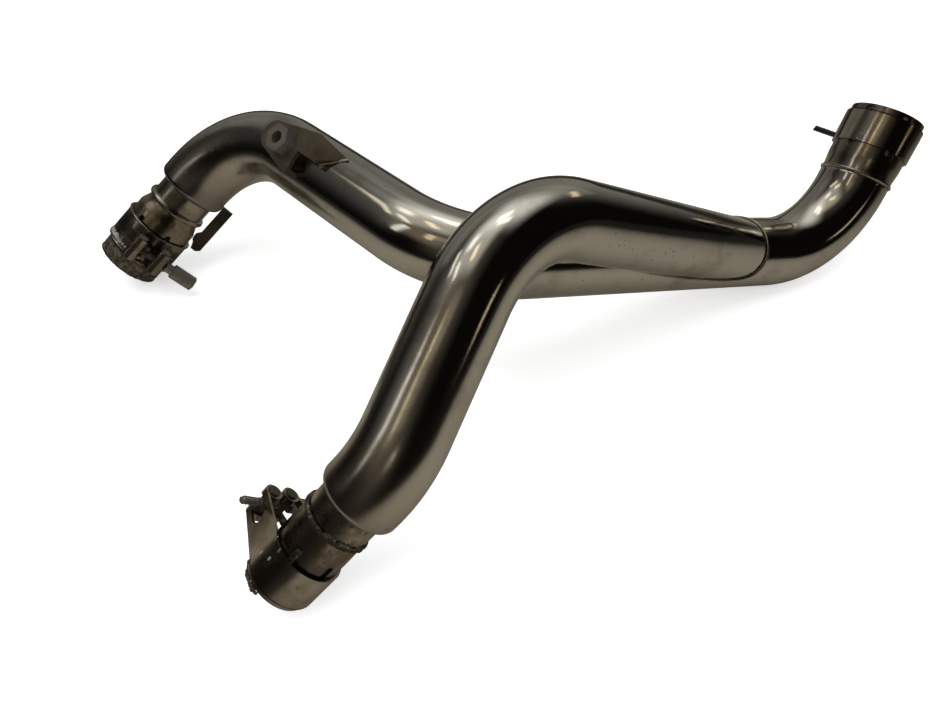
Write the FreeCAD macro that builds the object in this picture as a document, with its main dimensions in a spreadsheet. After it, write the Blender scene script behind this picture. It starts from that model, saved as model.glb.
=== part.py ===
import FreeCAD, Part

# Two-into-one motorcycle exhaust header: a rear pipe that runs through to the outlet and a front
# pipe that is welded into it. Both are double-walled: a gas tube inside a polished skin. Each of
# the three ends has a slotted socket with a band clamp. Millimetres, +Z up, as the header lies on
# a flat surface. The origin is the centre of the outlet mouth.

import math
import os
import re

from FreeCAD import Placement, Rotation, Vector

SIZES = {
    # Rear route: way from the first corner to the inlet, straight length from there to the
    # mouth, then the corner of each bend. It ends at the origin.
    "rear_way_x": -107.0,
    "rear_way_y": -54.0,
    "rear_way_z": -86.5,
    "rear_end_straight": 87.3,
    "rear_first_x": -481.7,
    "rear_first_y": 3.2,
    "rear_first_z": 6.0,
    "rear_second_x": -322.7,
    "rear_second_y": -157.8,
    "rear_second_z": -2.5,
    "rear_third_x": -44.2,
    "rear_third_y": -51.8,
    "rear_third_z": -83.5,
    # Front route: centre of the inlet mouth, then the corner of each bend. It ends on the rear
    # route, junction_along from the rear route's second corner.
    "front_mouth_x": -417.5,
    "front_mouth_y": -324.0,
    "front_mouth_z": -83.5,
    "front_first_x": -352.1,
    "front_first_y": -292.3,
    "front_first_z": -23.9,
    "front_second_x": -291.2,
    "front_second_y": -188.8,
    "front_second_z": 57.0,
    "junction_along": 232.7,
    "bend_radius": 76.2,
    # Tubes
    "rear_skin_od": 50.8,
    "front_skin_step": 3.2,
    "skin_wall": 1.2,
    "rear_neck_od": 40.4,
    "front_neck_step": 2.8,
    "neck_wall": 1.5,
    "seat_gap": 0.3,
    # Places along each end, measured inwards from its mouth
    "rear_shoulder_at": 77.2,
    "rear_neck_weld_at": 61.6,
    "rear_socket_at": 12.0,
    "rear_band_at": 14.0,
    "front_shoulder_at": 68.0,
    "front_neck_weld_at": 51.0,
    "front_socket_at": 4.5,
    "front_band_at": 4.9,
    "outlet_weld_at": 47.5,
    "outlet_band_at": 4.6,
    # Sockets
    "rear_swell": 6.0,
    "front_swell": 0.4,
    "outlet_swell": 1.6,
    "socket_wall": 1.5,
    "socket_cone": 8.0,
    "socket_tail": 4.0,
    "socket_slots": 6,
    "slot_width": 4.0,
    "rear_slot_past_band": 4.0,
    "front_slot_past_band": 9.0,
    "outlet_slot_past_band": 3.5,
    "outlet_slot_from": 1.6,
    # Turn of each socket's first slot from its clamp
    "rear_slot_turn": 14.0,
    "front_slot_turn": 55.7,
    "outlet_slot_turn": 33.4,
    # Gasket sleeves and the front end ring
    "sleeve_wall": 3.0,
    "sleeve_length": 34.0,
    "end_ring_length": 3.0,
    # Weld beads
    "rear_neck_bead": 2.0,
    "front_neck_bead": 1.5,
    "outlet_bead": 1.2,
    "seam_bead": 1.6,
    "seam_crown": 0.6,
    "bracket_bead": 2.0,
    # Band clamps
    "rear_band_width": 27.0,
    "front_band_width": 23.0,
    "outlet_band_width": 23.0,
    "band_wall": 1.5,
    "band_play": 0.3,
    "ear_tip_width": 19.0,
    "loop_radius": 5.2,
    # Half the distance between a clamp's ears, where they leave the band and at their tips,
    # and from the clamp's middle plane to the axis of each loop
    "rear_ear_base": 4.5,
    "rear_ear_tip": 4.5,
    "rear_loop_at": 9.7,
    "front_ear_base": 17.0,
    "front_ear_tip": 9.9,
    "front_loop_at": 6.2,
    "outlet_ear_base": 1.0,
    "outlet_ear_tip": 1.0,
    "outlet_loop_at": 6.2,
    "rear_ear_rise": 9.0,
    "front_ear_rise": 18.7,
    "outlet_ear_rise": 9.0,
    "rear_window_radius": 3.6,
    "front_window_radius": 5.4,
    "outlet_window_radius": 3.6,
    "rear_window_drop": 5.0,
    "front_window_drop": 8.0,
    "outlet_window_drop": 5.0,
    "stud_od": 5.0,
    "stud_chamfer": 0.7,
    "barrel_overhang": 1.0,
    "rear_clamp_angle": 75.5,
    "front_clamp_angle": -86.0,
    "outlet_clamp_angle": 171.3,
    "rear_stud_reach": 20.3,
    "front_stud_reach": 21.0,
    "outlet_stud_reach": 46.0,
    "nut_width": 10.0,
    "rear_nut_length": 18.0,
    "front_nut_length": 10.0,
    "outlet_nut_length": 10.0,
    "nut_collar_od": 7.6,
    "nut_collar_length": 6.0,
    # Mounting bracket on the run after the rear pipe's first bend
    "bracket_along": 75.0,
    "bracket_angle": 38.6,
    "bracket_standoff": 4.8,
    "bracket_sheet": 3.0,
    "tongue_radius": 10.8,
    "tongue_centre": -4.5,
    "bracket_length": 38.8,
    "bracket_top": 20.7,
    "bracket_axis": 3.3,
    "foot_from": 16.5,
    "foot_width": 6.5,
    "foot_reach": 16.0,
    "leg_slant": 5.8,
    "leg_reach": 14.0,
    "leg_toe": 16.6,
    "nut_along": 8.5,
    "bracket_nut_width": 17.0,
    "bracket_nut_height": 8.0,
    "bracket_nut_bore": 8.5,
    # Side tab along the rear inlet socket
    "tab_angle": 154.4,
    "tab_from": 41.5,
    "tab_to": 85.0,
    "tab_rise": 8.5,
    "tab_sheet": 3.0,
    "tab_foot_at": 49.0,
    "tab_foot_length": 5.0,
    "tab_tack": 2.2,
}

# Diameters that follow another one
DERIVED = {
    "front_skin_od": "(rear_skin_od - front_skin_step)",
    "front_neck_od": "(rear_neck_od - front_neck_step)",
    "rear_socket_od": "(rear_neck_od + rear_swell)",
    "front_socket_od": "(front_neck_od + front_swell)",
    "outlet_socket_od": "(rear_skin_od + outlet_swell)",
}

doc = FreeCAD.newDocument("exhaust_header")
sheet = doc.addObject("Spreadsheet::Sheet", "sizes")
for row, (alias, number) in enumerate(SIZES.items(), start=1):
    sheet.set("A%d" % row, alias)
    sheet.set("B%d" % row, str(number))
    sheet.setAlias("B%d" % row, alias)
doc.recompute()

nodes = []


def plain(expression):
    """The expression with each derived diameter written out in the sheet's names."""
    longer = re.sub(r"[a-z]\w*", lambda word: DERIVED.get(word[0], word[0]), expression)
    return expression if longer == expression else plain(longer)


def size(expression):
    """The value of an expression in the sheet's names."""
    return float(sheet.evalExpression(plain(expression)))


def bound(expression):
    """The same expression, written for an object outside the sheet."""
    expression = plain(expression)
    return re.sub(r"[a-z]\w*", lambda word: "sizes." * (word[0] in SIZES) + word[0], expression)


def bind(item, **expressions):
    for name, expression in expressions.items():
        item.setExpression(name.replace("__", "."), bound(expression))
    return item


def move(item, x="0", y="0", z="0"):
    """Ties the item's place in its own frame to the sheet."""
    return bind(item, Placement__Base__x=x, Placement__Base__y=y, Placement__Base__z=z)


def node(label, item, frame=None):
    """Names a finished piece and sets it in its frame."""
    item.Label = label
    if frame is not None:
        item.Placement = frame
    nodes.append(item)
    return item


ALONG_X = Rotation(Vector(0, 1, 0), 90)
ALONG_Y = Rotation(Vector(1, 0, 0), -90)


def cylinder(name, radius, length, x="0", y="0", z="0", turn=None):
    item = doc.addObject("Part::Cylinder", name)
    if turn is not None:
        item.Placement = Placement(Vector(), turn)
    bind(item, Radius=radius, Height=length)
    return move(item, x, y, z)


def box(name, length, width, height, x="0", y="0", z="0"):
    item = doc.addObject("Part::Box", name)
    bind(item, Length=length, Width=width, Height=height)
    return move(item, x, y, z)


def cone(name, radius_low, radius_high, length, x="0", y="0", z="0", turn=None):
    item = doc.addObject("Part::Cone", name)
    if turn is not None:
        item.Placement = Placement(Vector(), turn)
    bind(item, Radius1=radius_low, Radius2=radius_high, Height=length)
    return move(item, x, y, z)


def fuse(name, items):
    item = doc.addObject("Part::MultiFuse", name)
    item.Shapes = items
    return item


def cut(name, base, tools):
    item = doc.addObject("Part::Cut", name)
    item.Base = base
    item.Tool = tools[0] if len(tools) == 1 else fuse(name + "_tool", tools)
    return item


def common(name, first, second):
    item = doc.addObject("Part::Common", name)
    item.Base = first
    item.Tool = second
    return item


def feature(name, shape, frame=None):
    item = doc.addObject("Part::Feature", name)
    item.Shape = shape
    if frame is not None:
        item.Placement = frame
    return item


def point(prefix):
    return Vector(size(prefix + "_x"), size(prefix + "_y"), size(prefix + "_z"))


def toward(start, end):
    return (end - start).normalize()


def end_frame(mouth, corner, angle):
    """Local Z runs from the mouth into the pipe. Local X is turned by angle from the top."""
    axis = toward(mouth, corner)
    top = Vector(0, 0, 1) - axis * axis.z
    turned = Rotation(axis, angle).multVec(top.normalize())
    return Placement(mouth, Rotation(turned, axis.cross(turned), axis, "ZXY"))


# Routes: straight runs joined by tangent arcs

rear_corners = [point("rear_first"), point("rear_second"), point("rear_third"), Vector(0, 0, 0)]
inlet_way = point("rear_way").normalize()
inlet_turn = (inlet_way * -1).getAngle(toward(rear_corners[0], rear_corners[1]))
inlet_tangent = size("bend_radius") * math.tan(inlet_turn / 2)
rear_mouth = rear_corners[0] + inlet_way * (size("rear_end_straight") + inlet_tangent)
rear_corners.insert(0, rear_mouth)
run_start = rear_corners[2]
run_way = toward(run_start, rear_corners[3])
junction = run_start + run_way * size("junction_along")
front_corners = [point("front_mouth"), point("front_first"), point("front_second"), junction]


def route(name, corners, skip_start, skip_end):
    """Centre line with the ends cut back by the two lengths."""
    radius = size("bend_radius")
    edges = []
    here = corners[0] + toward(corners[0], corners[1]) * skip_start
    last = corners[-1] + toward(corners[-1], corners[-2]) * skip_end
    start = here
    for before, corner, after in zip(corners, corners[1:], corners[2:]):
        way_in = toward(before, corner)
        way_out = toward(corner, after)
        turn = way_in.getAngle(way_out)
        tangent = radius * math.tan(turn / 2)
        entry = corner - way_in * tangent
        leave = corner + way_out * tangent
        inward = (way_out - way_in).normalize()
        centre = corner + inward * (radius / math.cos(turn / 2))
        middle = centre - inward * radius
        edges.append(Part.LineSegment(here, entry).toShape())
        edges.append(Part.Arc(entry, middle, leave).toShape())
        here = leave
    edges.append(Part.LineSegment(here, last).toShape())
    line = feature(name, Part.Wire(edges))
    frame = Placement(start, Rotation(Vector(0, 0, 1), toward(corners[0], corners[1])))
    return line, frame


def along(name, way, radius):
    """A round bar of the radius along a route."""
    line, frame = way
    section = doc.addObject("Part::Circle", name + "_section")
    bind(section, Radius=radius)
    section.Placement = frame
    sweep = doc.addObject("Part::Sweep", name)
    sweep.Sections = [section]
    sweep.Spine = (line, ["Edge%d" % (i + 1) for i in range(len(line.Shape.Edges))])
    sweep.Solid = True
    return sweep


def turned(name, outline):
    """A solid turned about local Z from an outline of edges in the XZ plane."""
    profile = feature(name + "_profile", Part.Face(Part.Wire([edge.toShape() for edge in outline])))
    item = doc.addObject("Part::Revolution", name)
    item.Source = profile
    item.Axis = Vector(0, 0, 1)
    item.Angle = 360
    return item


def rounded_end(name, flat, roll, at):
    """A disc whose rim is rounded towards the mouth through a quarter circle."""
    def spot(radius, place):
        return Vector(radius, 0, place)

    centre = spot(flat, at + roll)
    quarter = centre + Vector(math.sqrt(0.5), 0, -math.sqrt(0.5)) * roll
    return turned(name, [
        Part.LineSegment(spot(0, at), spot(flat, at)),
        Part.Arc(spot(flat, at), quarter, spot(flat + roll, at + roll)),
        Part.LineSegment(spot(flat + roll, at + roll), spot(0, at + roll)),
        Part.LineSegment(spot(0, at + roll), spot(0, at)),
    ])


def rolled_shoulder(name, frame, at, skin_od, neck_od):
    """The skin's end, rolled in through a quarter circle until it meets the neck."""
    lip = size("%s / 2 + seat_gap" % neck_od)
    roll = size("%s / 2" % skin_od) - lip
    wall = size("skin_wall")
    start = size(at)
    outside = rounded_end(name + "_outside", lip, roll, start)
    inside = rounded_end(name + "_inside", lip, roll - wall, start + wall)
    hole = cylinder(name + "_hole", "%s / 2 + seat_gap" % neck_od, "%s" % skin_od, z=at)
    item = cut(name, outside, [inside, hole])
    item.Placement = frame
    return item


def shoulder_end(at, skin_od, neck_od):
    """How far from the mouth the rolled shoulder becomes the straight skin."""
    return size("%s + %s / 2 - %s / 2 - seat_gap" % (at, skin_od, neck_od))


rear_frame = end_frame(rear_corners[0], rear_corners[1], 0)
front_frame = end_frame(front_corners[0], front_corners[1], 0)
outlet_frame = end_frame(rear_corners[-1], rear_corners[-2], 0)

# Bars for the skins, the gas tubes and their bores

rear_skin_way = route(
    "rear_skin_route", rear_corners,
    shoulder_end("rear_shoulder_at", "rear_skin_od", "rear_neck_od"), size("outlet_weld_at"))
rear_neck_way = route(
    "rear_neck_route", rear_corners, size("rear_neck_weld_at"), size("outlet_weld_at"))
front_skin_way = route(
    "front_skin_route", front_corners,
    shoulder_end("front_shoulder_at", "front_skin_od", "front_neck_od"), 0)
front_neck_way = route("front_neck_route", front_corners, size("front_neck_weld_at"), 0)

rear_skin_bar = along("rear_skin_bar", rear_skin_way, "rear_skin_od / 2")
rear_skin_bore = along("rear_skin_bore", rear_skin_way, "rear_skin_od / 2 - skin_wall")
rear_neck_bar = along("rear_neck_bar", rear_neck_way, "rear_neck_od / 2")
rear_neck_bore = along("rear_neck_bore", rear_neck_way, "rear_neck_od / 2 - neck_wall")
front_skin_bar = along("front_skin_bar", front_skin_way, "front_skin_od / 2")
front_skin_bore = along("front_skin_bore", front_skin_way, "front_skin_od / 2 - skin_wall")
front_neck_bar = along("front_neck_bar", front_neck_way, "front_neck_od / 2")
front_neck_bore = along("front_neck_bore", front_neck_way, "front_neck_od / 2 - neck_wall")


def run_bar(name, radius):
    """A bar along the rear pipe's straight run, where the front pipe joins it."""
    half_turn = toward(rear_corners[1], run_start).getAngle(run_way) / 2
    next_half = run_way.getAngle(toward(rear_corners[3], rear_corners[4])) / 2
    start = size("bend_radius") * math.tan(half_turn)
    finish = run_start.distanceToPoint(rear_corners[3]) - size("bend_radius") * math.tan(next_half)
    item = doc.addObject("Part::Cylinder", name)
    item.Height = finish - start
    bind(item, Radius=radius)
    front_way = toward(front_corners[2], junction)
    away = (front_way - run_way * front_way.dot(run_way)).normalize()
    turn = Rotation(away, run_way.cross(away), run_way, "ZXY")
    item.Placement = Placement(run_start + run_way * start, turn)
    return item


# Skins

rear_tube = cut("rear_skin_tube", rear_skin_bar, [rear_skin_bore, front_skin_bore])
rear_roll = rolled_shoulder(
    "rear_roll", rear_frame, "rear_shoulder_at", "rear_skin_od", "rear_neck_od")
node("rear_outer_pipe", fuse("rear_skin", [rear_tube, rear_roll]))

front_roll = rolled_shoulder(
    "front_roll", front_frame, "front_shoulder_at", "front_skin_od", "front_neck_od")
front_seat = run_bar("front_skin_seat", "rear_skin_od / 2 + seat_gap")
front_tube = cut("front_skin_tube", front_skin_bar, [front_skin_bore, front_seat])
node("front_outer_pipe", fuse("front_skin", [front_tube, front_roll]))

# Gas tubes: the front one ends on the rear one, around an opening of its own bore

node("rear_inner_pipe", cut("rear_gas_tube", rear_neck_bar, [rear_neck_bore, front_neck_bore]))
neck_seat = run_bar("front_neck_seat", "rear_neck_od / 2 + seat_gap")
node("front_inner_pipe", cut("front_gas_tube", front_neck_bar, [front_neck_bore, neck_seat]))

# Seam where the front skin meets the rear skin

SEAM_SECTIONS = 48
SEAM_SPREAD = 0.05


def on_skin(spot, way, radius):
    """The spot moved square to the axis through the junction until it lies at the radius."""
    place = junction + way * (spot - junction).dot(way)
    return place + (spot - place).normalize() * radius


def seam_section(turn):
    """Bead at one turn about the front pipe: root, toe on the front skin, crown, rear toe."""
    front_way = toward(front_corners[2], junction)
    side = front_way.cross(run_way).normalize()
    lean = side.cross(front_way)
    front_radius = size("front_skin_od / 2 + seat_gap")
    rear_radius = size("rear_skin_od / 2 + seat_gap")
    aside = front_radius * math.sin(turn)
    up = front_radius * math.cos(turn)
    reach = math.sqrt(rear_radius ** 2 - aside ** 2)
    depth = (up * front_way.dot(run_way) - reach) / lean.dot(run_way)
    root = junction + side * aside + lean * up + front_way * depth
    front_normal = (side * aside + lean * up).normalize()
    rear_normal = root - junction
    rear_normal = (rear_normal - run_way * rear_normal.dot(run_way)).normalize()
    forward = front_normal.cross(rear_normal).normalize()
    front_toe = forward.cross(front_normal)
    rear_toe = rear_normal.cross(forward)
    opening = (1 - front_toe.dot(rear_toe)) / 2
    width = size("seam_bead") / math.sqrt(opening + SEAM_SPREAD)
    front_toe = on_skin(root + front_toe * width, front_way, front_radius)
    rear_toe = on_skin(root + rear_toe * width, run_way, rear_radius)
    outward = (front_normal + rear_normal).normalize()
    crown = (front_toe + rear_toe) * 0.5 + outward * size("seam_crown")
    return Part.makePolygon([root, front_toe, crown, rear_toe, root])


# A bead whose width follows the angle between the skins has no primitive, so it is lofted
seam_sections = [seam_section(2 * math.pi * i / SEAM_SECTIONS) for i in range(SEAM_SECTIONS)]
node("junction_weld", feature("seam", Part.makeLoft(seam_sections, True, True, True)))


def ring_weld(label, frame, at, od, bead):
    """A bead all round, half sunk by the tube that it lies on."""
    torus = doc.addObject("Part::Torus", label + "_ring")
    bind(torus, Radius1="%s / 2" % od, Radius2=bead)
    move(torus, z=at)
    tube = cylinder(label + "_tube", "%s / 2 + seat_gap" % od, "4 * %s" % bead,
                    z="%s - 2 * %s" % (at, bead))
    node(label, cut(label + "_bead", torus, [tube]), frame)


ring_weld("rear_neck_weld", rear_frame, "rear_neck_weld_at", "rear_neck_od", "rear_neck_bead")
ring_weld("front_neck_weld", front_frame, "front_neck_weld_at", "front_neck_od",
          "front_neck_bead")
ring_weld("outlet_weld", outlet_frame, "outlet_weld_at", "rear_skin_od", "outlet_bead")


def socket(label, frame, at, weld_at, socket_od, tail_od, wall, slot_from, slot_end, slot_turn):
    """A tube swaged up from its tail to its mouth, with round-ended slits around the mouth."""
    cone_at = "%s - socket_tail - socket_cone" % weld_at
    pieces = []
    for part, inset in (("outside", "0"), ("inside", wall)):
        mouth = cylinder("%s_%s_mouth" % (label, part), "%s / 2 - %s" % (socket_od, inset),
                         "%s - %s" % (cone_at, at), z=at)
        swage = cone("%s_%s_cone" % (label, part), "%s / 2 - %s" % (socket_od, inset),
                     "%s / 2 - %s" % (tail_od, inset), "socket_cone", z=cone_at)
        tail = cylinder("%s_%s_tail" % (label, part), "%s / 2 - %s" % (tail_od, inset),
                        "socket_tail", z="%s - socket_tail" % weld_at)
        pieces.append(fuse("%s_%s" % (label, part), [mouth, swage, tail]))
    slots = []
    slot_count = int(size("socket_slots"))
    for i in range(slot_count):
        straight = box("%s_slot_%d" % (label, i), socket_od, "slot_width",
                       "%s - slot_width / 2 - %s" % (slot_end, slot_from),
                       y="0 - slot_width / 2", z=slot_from)
        rounded = cylinder("%s_slot_end_%d" % (label, i), "slot_width / 2", socket_od,
                           z="%s - slot_width / 2" % slot_end, turn=ALONG_X)
        slit = cut("%s_slit_%d" % (label, i), fuse("%s_opening_%d" % (label, i), [straight, rounded]),
                   [cylinder("%s_core_%d" % (label, i), "slot_width", slot_end)])
        angle = size(slot_turn) + i * 360 / slot_count
        slit.Placement = Placement(Vector(), Rotation(Vector(0, 0, 1), angle))
        slots.append(slit)
    node(label, cut(label + "_wall", pieces[0], [pieces[1]] + slots), frame)


REAR_SLOT_END = "rear_band_at + rear_band_width + rear_slot_past_band"
FRONT_SLOT_END = "front_band_at + front_band_width + front_slot_past_band"
OUTLET_SLOT_END = "outlet_band_at + outlet_band_width + outlet_slot_past_band"
rear_socket_frame = end_frame(rear_corners[0], rear_corners[1], size("rear_clamp_angle"))
front_socket_frame = end_frame(front_corners[0], front_corners[1], size("front_clamp_angle"))
outlet_socket_frame = end_frame(rear_corners[-1], rear_corners[-2], size("outlet_clamp_angle"))
socket("rear_inlet_socket", rear_socket_frame, "rear_socket_at", "rear_neck_weld_at",
       "rear_socket_od", "rear_neck_od", "socket_wall", "rear_socket_at", REAR_SLOT_END,
       "rear_slot_turn")
socket("front_inlet_socket", front_socket_frame, "front_socket_at", "front_neck_weld_at",
       "front_socket_od", "front_neck_od", "socket_wall", "front_socket_at", FRONT_SLOT_END,
       "front_slot_turn")
socket("outlet_socket", outlet_socket_frame, "0", "outlet_weld_at",
       "outlet_socket_od", "rear_skin_od", "skin_wall", "outlet_slot_from", OUTLET_SLOT_END,
       "outlet_slot_turn")


def sleeve(label, frame, socket_od, collar_length=None):
    """A gasket sleeve, a sliding fit in its socket, whose end or collar shows at the mouth."""
    outside = "%s / 2 - socket_wall - 2 * seat_gap" % socket_od
    body = cylinder(label + "_body", outside, "sleeve_length")
    if collar_length:
        collar = cylinder(label + "_collar", "%s / 2" % socket_od, collar_length)
        body = fuse(label + "_collared", [body, collar])
    bore = cylinder(label + "_bore", outside + " - sleeve_wall", "sleeve_length")
    node(label, cut(label + "_wall", body, [bore]), frame)


sleeve("rear_gasket_sleeve", rear_frame, "rear_socket_od", "rear_socket_at - seat_gap")
sleeve("front_gasket_sleeve", front_frame, "front_socket_od")

ring_body = cylinder("end_ring_body", "front_socket_od / 2", "end_ring_length",
                     z="front_socket_at - end_ring_length")
ring_bore = cylinder("end_ring_bore", "front_socket_od / 2 - socket_wall", "end_ring_length",
                     z="front_socket_at - end_ring_length")
node("front_end_ring", cut("end_ring_wall", ring_body, [ring_bore]), front_frame)


def ear(name, side, bore, start, width, rise, base, tip):
    """One ear of a band: it narrows from the band's width to the loop's."""
    wedge = doc.addObject("Part::Wedge", name)
    wedge.Placement = Placement(Vector(), Rotation(Vector(0, 0, 1), -90))
    near, far = ("0 - %s - band_wall", "0 - %s")
    if side < 0:
        near, far = ("%s", "%s + band_wall")
    tip_at = "%s + %s / 2 - ear_tip_width / 2" % (start, width)
    bind(wedge, Xmin=near % base, Xmax=far % base, X2min=near % tip, X2max=far % tip,
         Ymin="sqrt((%s)^2 - %s^2)" % (bore, base), Ymax=rise,
         Zmin=start, Zmax="%s + %s" % (start, width),
         Z2min=tip_at, Z2max=tip_at + " + ear_tip_width")
    return wedge


def clamp(prefix, frame, nut_side):
    """Band with two eared loops, a barrel in each loop, and a stud with a long nut."""
    start = prefix + "_band_at"
    width = prefix + "_band_width"
    reach = prefix + "_stud_reach"
    base = prefix + "_ear_base"
    loop_at = prefix + "_loop_at"
    window = prefix + "_window_radius"
    drop = prefix + "_window_drop"
    nut_length = prefix + "_nut_length"
    bore = "%s_socket_od / 2 + band_play" % prefix
    rise = "%s + band_wall + %s_ear_rise" % (bore, prefix)
    middle = "%s + %s / 2" % (start, width)
    tip = "%s - ear_tip_width / 2" % middle
    ring = cut(prefix + "_band_ring",
               cylinder(prefix + "_band_body", bore + " + band_wall", width, z=start),
               [cylinder(prefix + "_band_bore", bore, width, z=start),
                box(prefix + "_band_gap", "2 * ( %s )" % bore, "2 * " + base, width,
                    y="0 - " + base, z=start)])
    solids = [ring]
    holes = []
    barrels = []
    for side, word in ((1, "upper"), (-1, "lower")):
        name = "%s_%s" % (prefix, word)
        across = "%d * %s" % (side, loop_at)
        solids.append(ear(name + "_ear", side, bore, start, width, rise, base,
                          prefix + "_ear_tip"))
        solids.append(cylinder(name + "_loop", "loop_radius", "ear_tip_width",
                               x=rise, y=across, z=tip))
        holes.append(cylinder(name + "_loop_bore", "loop_radius - band_wall", "ear_tip_width",
                              x=rise, y=across, z=tip))
        pin = cylinder(name + "_pin", "loop_radius - band_wall - seat_gap",
                       "ear_tip_width + 2 * barrel_overhang",
                       x=rise, y=across, z=tip + " - barrel_overhang")
        cross = cylinder(name + "_cross", "stud_od / 2 + seat_gap", "4 * loop_radius", x=rise,
                         y=across + " - 2 * loop_radius", z=middle, turn=ALONG_Y)
        barrels.append(cut(name + "_barrel", pin, [cross]))
    half_all = "%s + 2 * loop_radius" % loop_at
    reach_all = "2 * ( %s )" % half_all
    window_low = "%s - %s" % (rise, drop)
    holes.append(cylinder(prefix + "_window_top", window, reach_all, x=rise,
                          y="0 - ( %s )" % half_all, z=middle, turn=ALONG_Y))
    holes.append(cylinder(prefix + "_window_low", window, reach_all, x=window_low,
                          y="0 - ( %s )" % half_all, z=middle, turn=ALONG_Y))
    holes.append(box(prefix + "_window", drop, reach_all, "2 * " + window, x=window_low,
                     y="0 - ( %s )" % half_all, z="%s - %s" % (middle, window)))
    node(prefix + "_clamp_band", cut(prefix + "_band", fuse(prefix + "_strip", solids), holes), frame)
    node(prefix + "_clamp_barrels", fuse(prefix + "_barrels", barrels), frame)

    collar_at = "%s + loop_radius + seat_gap" % loop_at
    nut_at = collar_at + " + nut_collar_length"
    stud_length = "%s + %s + %s - stud_od / 2" % (reach, nut_at, nut_length)
    way = Rotation(Vector(1, 0, 0), -90 * nut_side)
    tail = "%d * %s" % (-nut_side, reach)
    shank = cylinder(prefix + "_shank", "stud_od / 2", stud_length, x=rise, y=tail, z=middle,
                     turn=way)
    end = cone(prefix + "_stud_end", "stud_od / 2", "stud_od / 2 - stud_chamfer", "stud_chamfer",
               x=rise, y=tail, z=middle, turn=Rotation(Vector(1, 0, 0), 90 * nut_side))
    node(prefix + "_clamp_stud", fuse(prefix + "_stud", [shank, end]), frame)
    body = doc.addObject("Part::Prism", prefix + "_nut_body")
    body.Polygon = 6
    body.Placement = Placement(Vector(), way)
    bind(body, Circumradius="nut_width / 2 / cos(30)", Height=nut_length)
    move(body, rise, "%d * ( %s )" % (nut_side, nut_at), middle)
    collar = cylinder(prefix + "_nut_collar", "nut_collar_od / 2", "nut_collar_length", x=rise,
                      y="%d * ( %s )" % (nut_side, collar_at), z=middle, turn=way)
    thread = cylinder(prefix + "_nut_thread", "stud_od / 2 + seat_gap",
                      nut_length + " + nut_collar_length", x=rise,
                      y="%d * ( %s )" % (nut_side, collar_at), z=middle, turn=way)
    node(prefix + "_clamp_nut",
         cut(prefix + "_nut", fuse(prefix + "_nut_solid", [body, collar]), [thread]), frame)


clamp("rear", rear_socket_frame, 1)
clamp("front", front_socket_frame, -1)
clamp("outlet", outlet_socket_frame, 1)

# Mounting bracket: local Z runs along the pipe, local X stands off it, local Y points down

bracket_base = rear_corners[1] + toward(rear_corners[1], run_start) * size("bracket_along")
bracket_frame = end_frame(bracket_base, run_start, size("bracket_angle"))
skin = size("rear_skin_od / 2")
under = skin + size("bracket_standoff")
sheet_metal = size("bracket_sheet")


def over_skin(across, lift=0.0):
    """How high the skin's surface is above its axis, at a distance to one side."""
    return math.sqrt(skin ** 2 - across ** 2) + lift


def bracket_plate():
    """Flat top: a round tongue, a foot on its lower edge and a slanted fold at its far end."""
    radius = size("tongue_radius")
    centre = size("tongue_centre")
    mid = -size("bracket_axis")
    low = mid + radius
    foot_start = size("foot_from")
    foot_end = foot_start + size("foot_width")
    foot_low = size("foot_reach") - size("bracket_axis")
    far = size("bracket_length")
    near = far - size("leg_slant")
    top = -size("bracket_top")

    def at(across, along_pipe):
        return Vector(under, across, along_pipe)

    edges = [
        Part.Arc(at(mid - radius, centre), at(mid, centre - radius), at(low, centre)),
        Part.LineSegment(at(low, centre), at(foot_low, foot_start)),
        Part.LineSegment(at(foot_low, foot_start), at(foot_low, foot_end)),
        Part.LineSegment(at(foot_low, foot_end), at(mid, foot_end)),
        Part.LineSegment(at(mid, foot_end), at(mid, far)),
        Part.LineSegment(at(mid, far), at(top, near)),
        Part.LineSegment(at(top, near), at(mid - radius, centre)),
    ]
    face = Part.Face(Part.Wire([edge.toShape() for edge in edges]))
    return face.extrude(Vector(sheet_metal, 0, 0))


def bracket_foot():
    """Short flange folded down from the plate's lower edge onto the skin."""
    start = size("foot_from")
    width = size("foot_width")
    low = size("foot_reach") - size("bracket_axis")
    bottom = over_skin(low, size("seat_gap"))
    return Part.makeBox(under - bottom, sheet_metal, width, Vector(bottom, low - sheet_metal, start))


def bracket_leg():
    """Triangular leg folded down at the slanted end, with its lower edge along the skin."""
    far = size("bracket_length")
    mid = -size("bracket_axis")
    top = -size("bracket_top")
    toe_across = -size("leg_toe")
    toe = Vector(over_skin(toe_across), toe_across, far + size("leg_reach"))
    heel = Vector(over_skin(mid), mid, far)
    fold_low = Vector(under + sheet_metal, mid, far)
    fold_high = Vector(under + sheet_metal, top, far - size("leg_slant"))
    slope = (fold_high - fold_low).cross(toe - fold_low).normalize()
    if slope.x < 0:
        slope = slope * -1
    outline = Part.makePolygon([fold_low, fold_high, toe, fold_low])
    upper = Part.Face(outline).extrude(slope * -sheet_metal)
    lower = Part.Face(Part.makePolygon([fold_low, toe, heel, fold_low]))
    lower = lower.extrude(slope * -sheet_metal)
    return upper.fuse(lower)


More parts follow.
